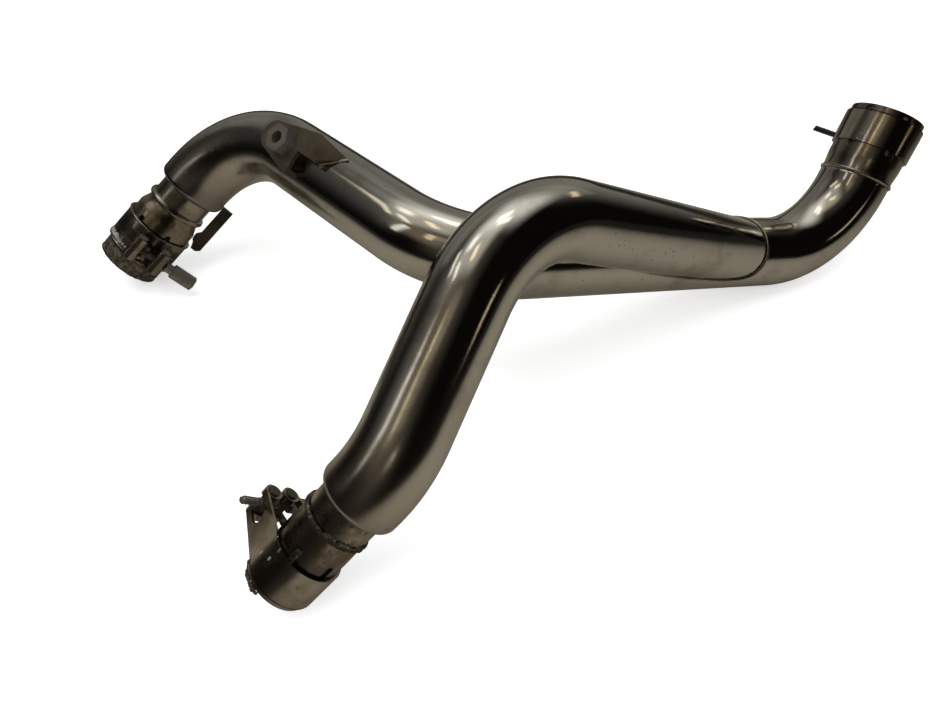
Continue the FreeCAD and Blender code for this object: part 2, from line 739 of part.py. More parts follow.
skin_clear = cylinder("bracket_skin", "rear_skin_od / 2 + seat_gap", "2 * bracket_length",
                      z="0 - bracket_length / 2")
bracket_parts = fuse("bracket_folded", [
    feature("bracket_plate", bracket_plate()),
    feature("bracket_foot", bracket_foot()),
    feature("bracket_leg", bracket_leg()),
])
nut_height = "rear_skin_od / 2 + bracket_standoff + bracket_sheet"
bolt_way = cylinder("bracket_hole", "bracket_nut_bore / 2", "bracket_sheet * 3",
                    x="rear_skin_od / 2 + bracket_standoff - bracket_sheet",
                    y="0 - bracket_axis", z="nut_along", turn=ALONG_X)
node("mounting_bracket", cut("bracket", bracket_parts, [skin_clear, bolt_way]), bracket_frame)

hexagon = doc.addObject("Part::Prism", "bracket_nut_body")
hexagon.Polygon = 6
hexagon.Placement = Placement(Vector(), ALONG_X)
bind(hexagon, Circumradius="bracket_nut_width / 2 / cos(30)", Height="bracket_nut_height")
move(hexagon, nut_height, "0 - bracket_axis", "nut_along")
nut_bore = cylinder("bracket_nut_thread", "bracket_nut_bore / 2", "bracket_nut_height",
                    x=nut_height, y="0 - bracket_axis", z="nut_along", turn=ALONG_X)
node("bracket_nut", cut("bracket_nut_hexagon", hexagon, [nut_bore]), bracket_frame)


def bar_between(name, start, end, radius):
    item = doc.addObject("Part::Cylinder", name)
    item.Height = (end - start).Length
    bind(item, Radius=radius)
    item.Placement = Placement(start, Rotation(Vector(0, 0, 1), end - start))
    return item


far_end = size("bracket_length")
leg_low = -size("leg_toe")
leg_heel = Vector(over_skin(-size("bracket_axis")), -size("bracket_axis"), far_end)
leg_toe = Vector(over_skin(leg_low), leg_low, far_end + size("leg_reach"))
leg_bead = bar_between("leg_bead", leg_heel, leg_toe, "bracket_bead")
bead_core = fuse("bracket_bead_core", [
    cylinder("bead_skin", "rear_skin_od / 2 + seat_gap", "2 * bracket_length",
             z="0 - bracket_length / 2"),
    feature("bead_leg", bracket_leg()),
])
node("bracket_weld", cut("bracket_bead", leg_bead, [bead_core]), bracket_frame)

# Side tab: a flat strip on edge, with one foot on the rear socket and its end on the skin

tab_frame = end_frame(rear_corners[0], rear_corners[1], size("tab_angle"))


def tab_outline():
    low = skin + size("seat_gap")
    high = low + size("tab_rise")
    seat = size("rear_socket_od / 2 + seat_gap")
    foot = size("tab_foot_at")
    foot_end = foot + size("tab_foot_length")
    start = size("tab_from")
    end = size("tab_to")
    bevel = size("tab_rise") / 3
    half = size("tab_sheet") / 2
    corners = [
        (low, end), (high, end), (high, start + bevel), (high - bevel, start),
        (low + bevel / 2, start), (low, foot - bevel), (seat, foot), (seat, foot_end),
        (low, foot_end + bevel),
    ]
    outline = [Vector(rise, -half, place) for rise, place in corners]
    return Part.Face(Part.makePolygon(outline + outline[:1])).extrude(Vector(0, 2 * half, 0))


node("side_tab", feature("side_tab_strip", tab_outline()), tab_frame)
tab_keep_out = [
    cylinder("tack_skin", "rear_skin_od / 2 + seat_gap", "tab_to", z="rear_shoulder_at"),
    cylinder("tack_socket", "rear_socket_od / 2 + seat_gap", "rear_shoulder_at"),
    box("tack_tab", "rear_skin_od", "rear_skin_od", "2 * tab_to",
        y="tab_sheet / 2 - rear_skin_od"),
]
tack_low = doc.addObject("Part::Sphere", "tack_on_socket")
bind(tack_low, Radius="tab_tack")
move(tack_low, "rear_socket_od / 2 + seat_gap", "tab_sheet / 2", "tab_foot_at + tab_foot_length / 2")
tack_high = doc.addObject("Part::Sphere", "tack_on_skin")
bind(tack_high, Radius="tab_tack")
move(tack_high, "rear_skin_od / 2 + seat_gap", "tab_sheet / 2", "tab_to - tab_tack")
node("side_tab_welds",
     cut("tab_tacks", fuse("tab_tack_pair", [tack_low, tack_high]), tab_keep_out), tab_frame)

# Build, check and write

doc.recompute()
for item in doc.Objects:
    if "Invalid" in item.State or "Error" in item.State:
        raise RuntimeError("%s failed: %s" % (item.Name, item.State))
os.makedirs("parts", exist_ok=True)
for item in nodes:
    if item.Shape.isNull() or not item.Shape.isValid() or item.Shape.Volume <= 0:
        raise RuntimeError("%s is not a valid solid" % item.Label)
for item in nodes:
    item.Shape.exportStep("parts/%s.step" % item.Label)
    print("%-22s %2d solids %10.1f mm3" % (item.Label, len(item.Shape.Solids), item.Shape.Volume))
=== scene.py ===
from math import cos, pi, radians, sin, sqrt, tan

import bmesh
import bpy
from mathutils import Matrix, Vector, noise


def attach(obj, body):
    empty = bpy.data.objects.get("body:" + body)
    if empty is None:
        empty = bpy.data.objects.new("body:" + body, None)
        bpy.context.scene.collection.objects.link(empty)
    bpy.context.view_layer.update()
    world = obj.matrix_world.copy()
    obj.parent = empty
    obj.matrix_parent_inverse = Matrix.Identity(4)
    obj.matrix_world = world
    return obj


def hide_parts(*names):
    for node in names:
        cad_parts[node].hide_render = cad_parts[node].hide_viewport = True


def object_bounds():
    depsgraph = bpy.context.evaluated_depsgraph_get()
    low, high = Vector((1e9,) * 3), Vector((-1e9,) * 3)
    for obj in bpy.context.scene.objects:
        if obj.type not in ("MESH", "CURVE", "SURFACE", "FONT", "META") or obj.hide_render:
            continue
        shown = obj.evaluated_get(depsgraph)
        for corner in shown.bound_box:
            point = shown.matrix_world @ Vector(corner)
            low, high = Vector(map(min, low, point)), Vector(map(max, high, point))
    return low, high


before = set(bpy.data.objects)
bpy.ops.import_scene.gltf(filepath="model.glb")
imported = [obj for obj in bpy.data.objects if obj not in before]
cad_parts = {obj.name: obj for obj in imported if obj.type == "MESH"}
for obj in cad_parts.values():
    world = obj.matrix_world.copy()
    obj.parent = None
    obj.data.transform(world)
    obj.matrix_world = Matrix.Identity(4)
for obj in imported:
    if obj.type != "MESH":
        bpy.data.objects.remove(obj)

bl_info = {
    "name": "Exhaust Header",
    "version": (1, 0, 0),
    "blender": (4, 5, 0),
    "location": "View3D > Sidebar > Header",
    "description": "Finishes a two-into-one exhaust header around its packed CAD frame",
    "category": "Object",
}

CAD_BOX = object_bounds()
BODY = "root"
MM = 0.001


def millimetres(*values):
    return Vector([value * MM for value in values])


def mouth_at(end, corner):
    """The middle of a pipe's mouth and the way from it into the pipe."""
    return end, (corner - end).normalized()


# Routes of the two pipes, as in the CAD source: mouth, bend corners, end
REAR_ELBOW = millimetres(-481.7, 3.2, 6.0)
INLET_WAY = millimetres(-107.0, -54.0, -86.5)
REAR_CORNERS = [
    REAR_ELBOW + INLET_WAY,
    REAR_ELBOW,
    millimetres(-322.7, -157.8, -2.5),
    millimetres(-44.2, -51.8, -83.5),
    millimetres(0.0, 0.0, 0.0),
]
RUN_WAY = (REAR_CORNERS[3] - REAR_CORNERS[2]).normalized()
# Where the pipes' axes meet, as a distance (mm) from the run's first corner
JUNCTION_PLACE = 232.7
JUNCTION = REAR_CORNERS[2] + RUN_WAY * JUNCTION_PLACE * MM
# Only this last stretch (m) of the front skin is drawn back onto the rear skin
JUNCTION_REACH = 0.2
FRONT_CORNERS = [
    millimetres(-417.5, -324.0, -83.5),
    millimetres(-352.1, -292.3, -23.9),
    millimetres(-291.2, -188.8, 57.0),
    JUNCTION,
]
FRONT_WAY = (JUNCTION - FRONT_CORNERS[2]).normalized()
BEND_RADIUS = 76.2 * MM
REAR_MOUTH = mouth_at(REAR_CORNERS[0], REAR_CORNERS[1])
FRONT_MOUTH = mouth_at(FRONT_CORNERS[0], FRONT_CORNERS[1])
OUTLET_MOUTH = mouth_at(REAR_CORNERS[4], REAR_CORNERS[3])

# Distances from the mouths to the ends of the skins (mm), and rows in a skin's rolled lip
REAR_SKIN_START = 77.2
FRONT_SKIN_START = 66.5
OUTLET_SKIN_END = 47.5
LIP_ROWS = 10

# Ring beads: name, node, mouth, distance from it (mm), the size they sit on, their own radius
# (mm), lumps, ripples and metal
RING_BEADS = (
    ("rear_neck_bead", "rear_neck_weld", REAR_MOUTH, 61.6, "rear_neck_radius", 2.4, 0.12, 0.0,
     "ground_bead"),
    ("front_neck_bead", "front_neck_weld", FRONT_MOUTH, 51.0, "front_neck_radius", 1.6, 0.9, 0.2,
     "weld_metal"),
    ("outlet_bead", "outlet_weld", OUTLET_MOUTH, OUTLET_SKIN_END, "rear_skin_radius", 1.25, 0.15,
     0.05, "ground_bead"),
)
RING_BEAD_POINTS = 120
SEAM_POINTS = 240
SEAM_LIFT = 0.2 * MM

# Clamp studs: name, metal, mouth, degrees of the loops from the top, then in mm the loops'
# distance from the axis, the band's middle, the stud's reach and the nut's place and length, and
# last the side that the nut is on
STUDS = (
    ("rear", "black_fixing", REAR_MOUTH, 75.5, 34.0, 27.5, 20.3, 21.2, 18.0, 1),
    ("front", "grey_fixing", FRONT_MOUTH, -86.0, 39.5, 16.4, 21.0, 17.7, 10.0, -1),
    ("outlet", "black_fixing", OUTLET_MOUTH, 171.3, 37.0, 16.1, 46.0, 17.7, 10.0, 1),
)

# Gasket sleeves (mm): name, mouth, outer radius, radius and length of the collar
SLEEVES = (("rear", REAR_MOUTH, 21.1, 23.2, 11.7), ("front", FRONT_MOUTH, 16.9, 16.9, 0.0))
SLEEVE_WALL = 3.0
SLEEVE_LENGTH = 34.0
# Rows of points on a sleeve's outside, collar and bore, and points in a row
OUTSIDE_ROWS, COLLAR_ROWS, BORE_ROWS = 30, 12, 15
SLEEVE_POINTS = 160
# How deep a sleeve is worn (mm), and how fine its wear is
WEAR_DEPTH, WEAR_SCALE = 0.7, 0.55

# Marks pressed into the front band: name, metal, degrees from the top and mm from the mouth
CLINCHES = (("dull_marks", "bright_ring", (-10.2, 27.8), (9.3, 26.9)),
            ("worn_marks", "worn_mark", (-12.6, 15.1), (7.0, 19.3)))
CLINCH_SEAT = 20.7
CLINCH_SIZE = (0.6 * MM, 0.75 * MM, 1.4 * MM, 1.0)

# Spot weld on the outlet band: degrees from the top, the rest in mm
SPOT_TURN, SPOT_PLACE, SPOT_RADIUS, SPOT_SEAT, SPOT_BEAD = 13.8, 24.4, 2.1, 28.0, 0.35

# Crumbs, scale and torn tabs on arcs: name, slot, material, mouth, radius, distance from the
# mouth (mm), first and last degrees from the top, number and size (mm)
STRAY_BITS = (
    ("gasket_crumbs", "gasket_graphite", "burnt_gasket", FRONT_MOUTH, 18.0, -0.6, -85, 28, 34, 1.5),
    ("weld_scale", "gasket_graphite", "burnt_gasket", FRONT_MOUTH, 19.2, 52.4, 40, 120, 26, 1.2),
    ("torn_tabs", "clamp_steel", "worn_mark", REAR_MOUTH, 25.2, 18.0, -8, 72, 18, 1.8),
    ("bent_tabs", "clamp_steel", "worn_mark", REAR_MOUTH, 25.2, 16.5, 92, 128, 9, 1.7),
)
ARC_POINTS = 40

# Rims of the rear band: name and distance from the mouth (mm)
BAND_RIMS = (("rear_band_outer_rim", 14.9), ("rear_band_inner_rim", 40.1))
RIM_SEAT, RIM_BEAD = 25.1, 0.7

# Section of the dark lining inside the outlet, soot and painted shade of its inside: radius and
# distance from the mouth (mm)
SOOT_AND_SHADE_SECTION = ((24.9, 0.4), (24.9, 30.0), (24.5, 30.0), (24.5, 0.4))

# Looks of the bare steels. Tints and satin: mouth, start, end (mm), share. Rings of painted shade
# under edges: mouth, place, reach (mm), share. Pits: middle, reach (mm)
STEELS = dict(
    polished_steel=dict(
        colour="steel", roughness=0.07, stained=0.28,
        tints=[(REAR_MOUTH, 60, 150, 0.4), (FRONT_MOUTH, 50, 110, 0.35),
               (OUTLET_MOUTH, 30, 130, 0.3)],
        rings=[(FRONT_MOUTH, 65.5, 0.8, 1.0)],
        satin=[(REAR_MOUTH, 100, 230, 0.14), (FRONT_MOUTH, 68, 90, 0.05)],
        pits=[(millimetres(-140, -122, -42), 70), (millimetres(-215, -165, 15), 60)]),
    bare_socket_rear=dict(
        colour="dull_steel", roughness=0.17, stained=0.45, tints=[(REAR_MOUTH, 10, 85, 0.5)],
        wave=1.5, grain=0.1, soot=0.25, rings=[(REAR_MOUTH, 41.0, 1.0, 1.0)]),
    bare_socket_front=dict(
        colour="dull_steel", roughness=0.17, stained=0.5, tints=[(FRONT_MOUTH, 0, 100, 0.75)],
        wave=3.2, grain=0.1, soot=0.5,
        rings=[(FRONT_MOUTH, 28.3, 2.2, 1.0), (FRONT_MOUTH, 52.5, 1.2, 1.0)]),
    bare_socket_outlet=dict(
        colour="dull_steel", roughness=0.11, stained=0.4, tints=[(OUTLET_MOUTH, -20, 60, 0.6)],
        wave=0.8, grain=0.06, soot=0.2, rings=[(OUTLET_MOUTH, 27.6, 0.5, 1.0)]),
    clamp_sheet_rear=dict(
        colour="clamp_steel", roughness=0.15, stained=0.45, tints=[(REAR_MOUTH, -40, 90, 0.5)],
        wave=0.6, grain=0.08, soot=0.35, rings=[(REAR_MOUTH, 29.0, 10.0, 0.8)]),
    clamp_sheet_front=dict(
        colour="clamp_steel", roughness=0.17, stained=0.45, tints=[(FRONT_MOUTH, -40, 60, 0.35)],
        grain=0.06, soot=0.15, rings=[(FRONT_MOUTH, 5.4, 0.5, 1.0)]),
    clamp_sheet_outlet=dict(
        colour="clamp_steel", roughness=0.09, stained=0.3, tints=[(OUTLET_MOUTH, -60, 50, 0.5)],
        soot=0.12, rings=[(OUTLET_MOUTH, 5.0, 0.5, 1.0)]),
    bright_ring=dict(colour="steel", roughness=0.22, stained=0.3, soot=0.35),
    worn_mark=dict(
        colour="worn", roughness=0.35, stained=0.2, spotted=0.4, soot=0.4, metallic=0.45),
    ground_bead=dict(
        colour="dull_steel", roughness=0.16, stained=0.35, tints=[(OUTLET_MOUTH, -20, 60, 0.3)],
        wave=0.8, grain=0.1, soot=0.25),
)
# Colours of a heat tint from its faint end to its hot end
TEMPER_COLOURS = ((0.0, (0.55, 0.46, 0.30)), (0.3, (0.44, 0.30, 0.13)), (0.55, (0.27, 0.15, 0.08)),
                  (0.75, (0.15, 0.10, 0.12)), (1.0, (0.07, 0.05, 0.045)))
# Rings of painted shade reach only this far from their own axis
RING_WIDEST = 28.5 * MM
BROWN_PATCH = (0.28, 0.23, 0.165)
WELD_SCALE = (0.09, 0.07, 0.05)
PALE_ASH = (0.125, 0.098, 0.058)

NODE_FINISHES = dict(
    bare_socket_rear=("rear_inlet_socket", "rear_inner_pipe", "side_tab"),
    bare_socket_front=("front_inlet_socket", "front_inner_pipe"),
    bare_socket_outlet=("outlet_socket",),
    clamp_sheet_rear=("rear_clamp_band",),
    clamp_sheet_front=("front_clamp_band",),
    clamp_sheet_outlet=("outlet_clamp_band",),
    bright_ring=("front_end_ring",),
    grey_fixing=("rear_clamp_nut", "front_clamp_nut", "bracket_nut", "rear_clamp_barrels"),
    black_fixing=("front_clamp_barrels", "outlet_clamp_barrels", "outlet_clamp_nut"),
    browned_sheet=("mounting_bracket",),
    ground_bead=("bracket_weld", "side_tab_welds"),
)
# Broken edges (mm)
CHAMFERS = dict(rear_clamp_nut=0.6, front_clamp_nut=0.5, outlet_clamp_nut=0.5, bracket_nut=0.6,
                mounting_bracket=0.3, side_tab=0.3)
CHAMFER_ANGLE = radians(25)

# Patches on the dome, in degrees: azimuth from +Y towards +X, elevation, half width, half height
# and softness, then strength and colour
DOME_PATCHES = dict(
    long_window=(-22.7, 61.6, 60.4, 6.3, 20, 0.15, (1, 0.99, 0.92)),
    right_window=(17.6, 61.5, 23.2, 14.1, 12.3, 0.8, (1, 1, 0.94)),
    left_window=(-62.9, 71.5, 19.8, 19.8, 8.4, 0.5, (1, 0.98, 0.87)),
    first_pane=(-58, 61.5, 5, 4, 3.5, 1.15, (1, 1, 0.94)),
    second_pane=(0, 66.5, 6, 3.2, 2, 1.3, (1, 1, 0.94)),
    window_sill=(-4.4, 36.9, 50.1, 8.7, 2.5, 0.08, (1, 0.98, 0.88)),
    white_lamp=(-110, 37.5, 2.8, 11, 1, 1, (1, 1, 0.96)),
    upper_lamp=(-92, 56, 6, 2.2, 2, 1.1, (1, 0.97, 0.86)),
    warm_lamp=(-74, 46.5, 8, 2.5, 1.5, 1, (1, 0.92, 0.75)),
    gold_lamp=(-90, 75.5, 6, 2.4, 1.6, 1.4, (1, 0.8, 0.47)),
    third_pane=(14, 73.5, 7, 2.4, 1.5, 1.1, (1, 0.97, 0.88)),
    right_gold=(122, 12, 4.5, 2.6, 1, 0.5, (1, 0.82, 0.55)),
    gold_line=(-136.5, 50, 2.6, 6.5, 0.9, 0.75, (1, 0.84, 0.58)),
    gold_wall=(-150, 55, 7, 5, 4, 0.13, (1, 0.82, 0.55)),
    gold_spot=(50, 29, 6, 2.2, 1.2, 0.8, (1, 0.78, 0.5)),
    low_gold=(-168.5, 32.5, 3.5, 3, 1, 0.9, (1, 0.88, 0.68)),
    brown_wall=(-123.6, 47.4, 19.7, 14.1, 8.7, 0.15, (1, 0.84, 0.6)),
    grey_wall=(-5.1, 8.2, 49.9, 29.4, 23, 0.19, (1, 0.98, 0.86)),
    ceiling=(112.7, 90, 80.7, 10.1, 22, 0.1, (1, 0.92, 0.75)),
)
DOME_RADIUS = 4.0
DOME_DARK = (0.004, 0.0034, 0.0026)
FLOOR_HALF = 6.0
FLOOR_GLOW = 0.5
SKY_GLOW = 0.6
TABLE_HALF = 5.0
TABLE_LIFT = 0.2 * MM
TABLE_COLOUR = (0.31, 0.28, 0.22)
TABLE_FAR = (0.012, 0.01, 0.008)
TABLE_MIDDLE = (-0.3, -0.2, 0.0)
TABLE_FADE = (0.2, 0.9)
# Lamps: name, place, size and power
LAMPS = (("key_lamp", Vector((-0.5, -0.2, 1.6)), 1.4, 14.0),
         ("fill_lamp", Vector((0.6, -1.2, 1.2)), 1.0, 5.0))
LAMP_AIM = Vector((-0.3, -0.15, -0.05))

# Camera that took the photograph
CAMERA_PLACE = millimetres(-301.93, -500.54, 271.13)
CAMERA_RIGHT = Vector((0.9996, 0.0, -0.02842))
CAMERA_UP = Vector((0.01967, 0.72193, 0.69169))
CAMERA_BACK = Vector((0.02052, -0.69197, 0.72164))
SENSOR_WIDTH = 36.0
PIXEL_FOCAL = 714.0
IMAGE_WIDTH = 950.0

FLOAT, VECTOR, COLOUR = "NodeSocketFloat", "NodeSocketVector", "NodeSocketColor"
INT, MATERIAL = "NodeSocketInt", "NodeSocketMaterial"
GEOMETRY = ("Geometry", "NodeSocketGeometry")
MASK = ("Mask", FLOAT)


def length_property(label, description, size):
    return bpy.props.FloatProperty(name=label, description=description, default=size * MM,
                                   unit="LENGTH", precision=4)


def colour_property(label, description, default):
    return bpy.props.FloatVectorProperty(name=label, description=description, default=default,
                                         subtype="COLOR", size=3, min=0.0, max=1.0)


class HeaderSizes(bpy.types.PropertyGroup):
    rear_skin_radius: length_property("Rear skin radius", "Outer radius of the rear skin", 25.4)
    front_skin_radius: length_property("Front skin radius", "Outer radius of the front skin", 23.75)
    rear_neck_radius: length_property("Rear neck radius", "Outer radius of the rear gas tube", 20.2)
    front_neck_radius: length_property("Front neck radius", "Outer radius of the front gas tube",
                                       18.8)
    skin_wall: length_property("Skin wall", "Wall of the outer skins", 1.2)
    seat_gap: length_property("Seat gap", "Clearance between a skin's end and its seat", 0.3)
    row_length: length_property("Row length", "Length of one row of faces along a pipe", 3.0)
    segments: bpy.props.IntProperty(name="Segments", description="Faces around a pipe", default=96)
    seam_radius: length_property("Seam radius", "Radius of the bead where the pipes meet", 1.1)
    thread_pitch: length_property("Thread pitch", "Pitch of the clamp studs", 1.25)
    stud_radius: length_property("Stud radius", "Outer radius of the clamp studs", 2.5)


class HeaderFinish(bpy.types.PropertyGroup):
    steel: colour_property("Steel", "Polished stainless skin", (0.60, 0.575, 0.53))
    dull_steel: colour_property("Dull steel", "Sockets and necks", (0.50, 0.46, 0.40))
    clamp_steel: colour_property("Clamp steel", "Band clamps", (0.55, 0.51, 0.45))
    worn: colour_property("Worn", "Rubbed marks and torn tabs", (0.5, 0.475, 0.425))
    bead: colour_property("Bead", "Weld beads", (0.42, 0.39, 0.35))
    bracket: colour_property("Bracket", "Heat-browned bracket sheet", (0.16, 0.13, 0.092))
    stain: colour_property("Stain", "Brown stains on bright steel", (0.16, 0.11, 0.065))
    # This colour is real soot, and also the painted shade of the rings under edges and of the
    # outlet's dark lining
    soot: colour_property("Soot", "Soot in hollows", (0.018, 0.015, 0.012))
    rust: colour_property("Rust", "Rust on the fixings", (0.075, 0.048, 0.03))
    gasket: colour_property("Gasket", "Burnt gasket mesh", (0.045, 0.034, 0.021))
    floor: colour_property("Floor", "Pale studio floor", (0.9, 0.9, 0.9))


# Node trees


class Tree:
    """Adds nodes to a shader or geometry tree and feeds their sockets."""

    def __init__(self, tree):
        self.tree = tree

    def feed(self, socket, value):
        if isinstance(value, bpy.types.NodeSocket):
            self.tree.links.new(value, socket)
        else:
            socket.default_value = (*value, 1.0) if socket.type == "RGBA" else value

    def add(self, kind, *values, **named):
        """Adds a node. Values go to its first inputs and capitalised names to the inputs called
        so. Other names are the node's settings."""
        made = self.tree.nodes.new(kind)
        for name in list(filter(str.islower, named)):
            setattr(made, name, named.pop(name))
        for place, value in enumerate(values):
            self.feed(made.inputs[place], value)
        for name, value in named.items():
            self.feed(made.inputs[name.replace("_", " ")], value)
        return made

    def shape(self, kind, *values, **named):
        """Adds a geometry node and gives its first output."""
        return self.add("GeometryNode" + kind, *values, **named).outputs[0]

    def math(self, operation, first, second=0.0, clamp=False):
        return self.add("ShaderNodeMath", first, second, operation=operation,
                        use_clamp=clamp).outputs[0]

    def plus(self, first, second, clamp=False):
        return self.math("ADD", first, second, clamp)

    def minus(self, first, second):
        return self.math("SUBTRACT", first, second)

    def times(self, first, second):
        return self.math("MULTIPLY", first, second)

    def vector(self, operation, first, second=(0.0, 0.0, 0.0)):
        """The vector, or the number that a dot product or distance gives."""
        made = self.add("ShaderNodeVectorMath", first, second, operation=operation)
        return made.outputs["Value" if operation in ("DOT_PRODUCT", "DISTANCE") else "Vector"]

    def scaled(self, vector, share):
        made = self.add("ShaderNodeVectorMath", vector, Scale=share, operation="SCALE")
        return made.outputs["Vector"]

    def combined(self, **parts):
        return self.add("ShaderNodeCombineXYZ", **parts).outputs[0]

    def ramp(self, value, low, high, to_low=0.0, to_high=1.0):
        """A smooth step of the value from low to high."""
        return self.add("ShaderNodeMapRange", value, low, high, to_low, to_high,
                        interpolation_type="SMOOTHSTEP").outputs["Result"]

    def fade(self, value, low, high):
        return self.ramp(value, low, high, 1.0, 0.0)

    def mix(self, mask, first, second, blend="MIX"):
        """Mixes two colours."""
        made = self.add("ShaderNodeMix", mask, data_type="RGBA", blend_type=blend)
        self.feed(made.inputs[6], first)
        self.feed(made.inputs[7], second)
        return made.outputs[2]

    def noise(self, place, scale, detail=4.0, roughness=0.55, output="Fac"):
        return self.add("ShaderNodeTexNoise", Vector=place, Scale=scale, Detail=detail,
                        Roughness=roughness).outputs[output]

    def group(self, name, place, **inputs):
        """Places a shader group and gives its outputs."""
        return self.add("ShaderNodeGroup", node_tree=bpy.data.node_groups[name], Vector=place,
                        **inputs).outputs

    def seen_rays(self):
        """1 for rays that show a surface: straight from the camera, mirrored or passed on."""
        rays = self.add("ShaderNodeLightPath").outputs
        seen = self.plus(rays["Is Camera Ray"], rays["Is Glossy Ray"])
        return self.plus(seen, rays["Is Transmission Ray"], clamp=True)


def emptied_tree(owner):
    """The node tree of a material or a world, without its first nodes."""
    owner.use_nodes = True
    owner.node_tree.nodes.clear()
    return owner.node_tree


def node_group(family, name, inputs, outputs):
    """A node group with its sockets: its Tree, and what goes in and out."""
    group = bpy.data.node_groups.new(name, family)
    for way, sockets in (("INPUT", inputs), ("OUTPUT", outputs)):
        for label, kind, *default in sockets:
            socket = group.interface.new_socket(label, in_out=way, socket_type=kind)
            if default:
                socket.default_value = default[0]
    tree = Tree(group)
    return tree, tree.add("NodeGroupInput").outputs, tree.add("NodeGroupOutput").inputs


def shader_group(name, numbers, vectors=(), outputs=(MASK,)):
    """A shader group that is placed with a value for each of its inputs."""
    inputs = [(label, VECTOR) for label in ("Vector", *vectors)]
    inputs += [(label, FLOAT) for label in numbers]
    return node_group("ShaderNodeTree", name, inputs, outputs)


def make_grime_group():
    """Patches of dirt or stain, from a noise."""
    tree, given, result = shader_group("grime", ("Scale", "Coverage", "Softness"))
    value = tree.noise(given["Vector"], given["Scale"], 7.0, 0.62)
    edge = tree.minus(0.75, tree.times(given["Coverage"], 0.5))
    low, high = tree.minus(edge, given["Softness"]), tree.plus(edge, given["Softness"])
    tree.feed(result["Mask"], tree.ramp(value, low, high))


def make_spots_group():
    """Small round spots, each with its own size."""
    tree, given, result = shader_group("spots", ("Scale", "Size"))
    cells = tree.add("ShaderNodeTexVoronoi", Vector=given["Vector"], Scale=given["Scale"]).outputs
    chance = tree.add("ShaderNodeSeparateColor", cells["Color"]).outputs["Red"]
    limit = tree.times(given["Size"], tree.ramp(chance, 0.45, 1.0))
    near = tree.fade(cells["Distance"], tree.times(limit, 0.5), tree.plus(limit, 0.001))
    tree.feed(result["Mask"], tree.times(near, tree.math("GREATER_THAN", limit, 0.01)))


def along_axis(tree, given):
    """Offset from the group's origin, and the distance along its axis."""
    offset = tree.vector("SUBTRACT", given["Vector"], given["Origin"])
    return offset, tree.vector("DOT_PRODUCT", offset, given["Axis"])


def make_temper_group():
    """Heat tint that fades with the distance along an axis."""
    tree, given, result = shader_group("temper", ("Start", "End"), ("Origin", "Axis"),
                                       (("Colour", COLOUR), MASK))
    along = along_axis(tree, given)[1]
    ripple = tree.minus(tree.noise(given["Vector"], 60.0), 0.5)
    along = tree.plus(along, tree.times(ripple, 0.02))
    mask = tree.fade(along, given["Start"], given["End"])
    tint = tree.add("ShaderNodeValToRGB", mask)
    stops = tint.color_ramp.elements
    for position, _ in TEMPER_COLOURS[1:-1]:
        stops.new(position)
    for stop, (_, colour) in zip(stops, TEMPER_COLOURS):
        stop.color = (*colour, 1.0)
    tree.feed(result["Colour"], tint.outputs["Color"])
    tree.feed(result["Mask"], mask)


def make_painted_shade_ring_group():
    """A ragged ring of painted shade at a distance along an axis, where an edge shades its seat."""
    tree, given, result = shader_group("soot_ring", ("Place", "Reach", "Widest"),
                                       ("Origin", "Axis"))
    offset, along = along_axis(tree, given)
    ragged = tree.times(tree.minus(tree.noise(given["Vector"], 130.0), 0.5), given["Reach"])
    away = tree.math("ABSOLUTE", tree.minus(along, given["Place"]))
    away = tree.plus(away, tree.times(ragged, 2.0))
    near = tree.fade(away, tree.times(given["Reach"], 0.4), given["Reach"])
    spread = tree.minus(tree.vector("DOT_PRODUCT", offset, offset), tree.times(along, along))
    own = tree.math("LESS_THAN", spread, tree.times(given["Widest"], given["Widest"]))
    tree.feed(result["Mask"], tree.times(near, own))


def make_scuff_group():
    """Height and gloss changes of handled metal: slow waves, fine grain and scratches."""
    tree, given, result = shader_group("scuff", ("Wave", "Grain"),
                                       outputs=(("Height", FLOAT), ("Smear", FLOAT)))
    place = given["Vector"]
    tree.feed(result["Height"], tree.plus(
        tree.times(tree.noise(place, 28.0, 2.0), given["Wave"]),
        tree.times(tree.noise(place, 900.0, 3.0), given["Grain"])))
    tree.feed(result["Smear"], tree.noise(place, 55.0, 6.0, 0.65))


def make_patch_group():
    """A soft-edged rectangle of light on the studio dome, from a direction and half sizes."""
    tree, given, result = shader_group(
        "light_patch", ("Half Width", "Half Height", "Softness"), ("Forward", "Side", "Up"))
    ahead, side, up = [tree.vector("DOT_PRODUCT", given["Vector"], given[label])
                       for label in ("Forward", "Side", "Up")]
    soft = given["Softness"]
    masks = []
    for angle, half in ((tree.math("ARCTAN2", side, ahead), given["Half Width"]),
                        (tree.math("ARCSINE", up), given["Half Height"])):
        away = tree.math("ABSOLUTE", angle)
        masks.append(tree.fade(away, tree.minus(half, soft), tree.plus(half, soft)))
    tree.feed(result["Mask"], tree.times(*masks))


class Finish(Tree):
    """A material's tree with its Principled shader and object coordinates."""

    def __init__(self, name):
        self.material = bpy.data.materials.new(name)
        super().__init__(emptied_tree(self.material))
        self.colours = bpy.context.scene.header_finish
        self.shader = self.add("ShaderNodeBsdfPrincipled")
        self.add("ShaderNodeOutputMaterial", self.shader.outputs["BSDF"])
        self.place = self.add("ShaderNodeTexCoord").outputs["Object"]

    def set(self, **inputs):
        for label, value in inputs.items():
            self.feed(self.shader.inputs[label.replace("_", " ")], value)

    def bump(self, height, distance):
        made = self.add("ShaderNodeBump", Height=height, Distance=distance)
        self.set(Normal=made.outputs["Normal"])

    def grime(self, scale, coverage, softness):
        return self.group("grime", self.place, Scale=scale, Coverage=coverage,
                          Softness=softness)["Mask"]

    def spots(self, scale, size):
        return self.group("spots", self.place, Scale=scale, Size=size)["Mask"]

    def tint(self, mouth, start, end):
        return self.group("temper", self.place, Origin=mouth[0], Axis=mouth[1],
                          Start=start * MM, End=end * MM)


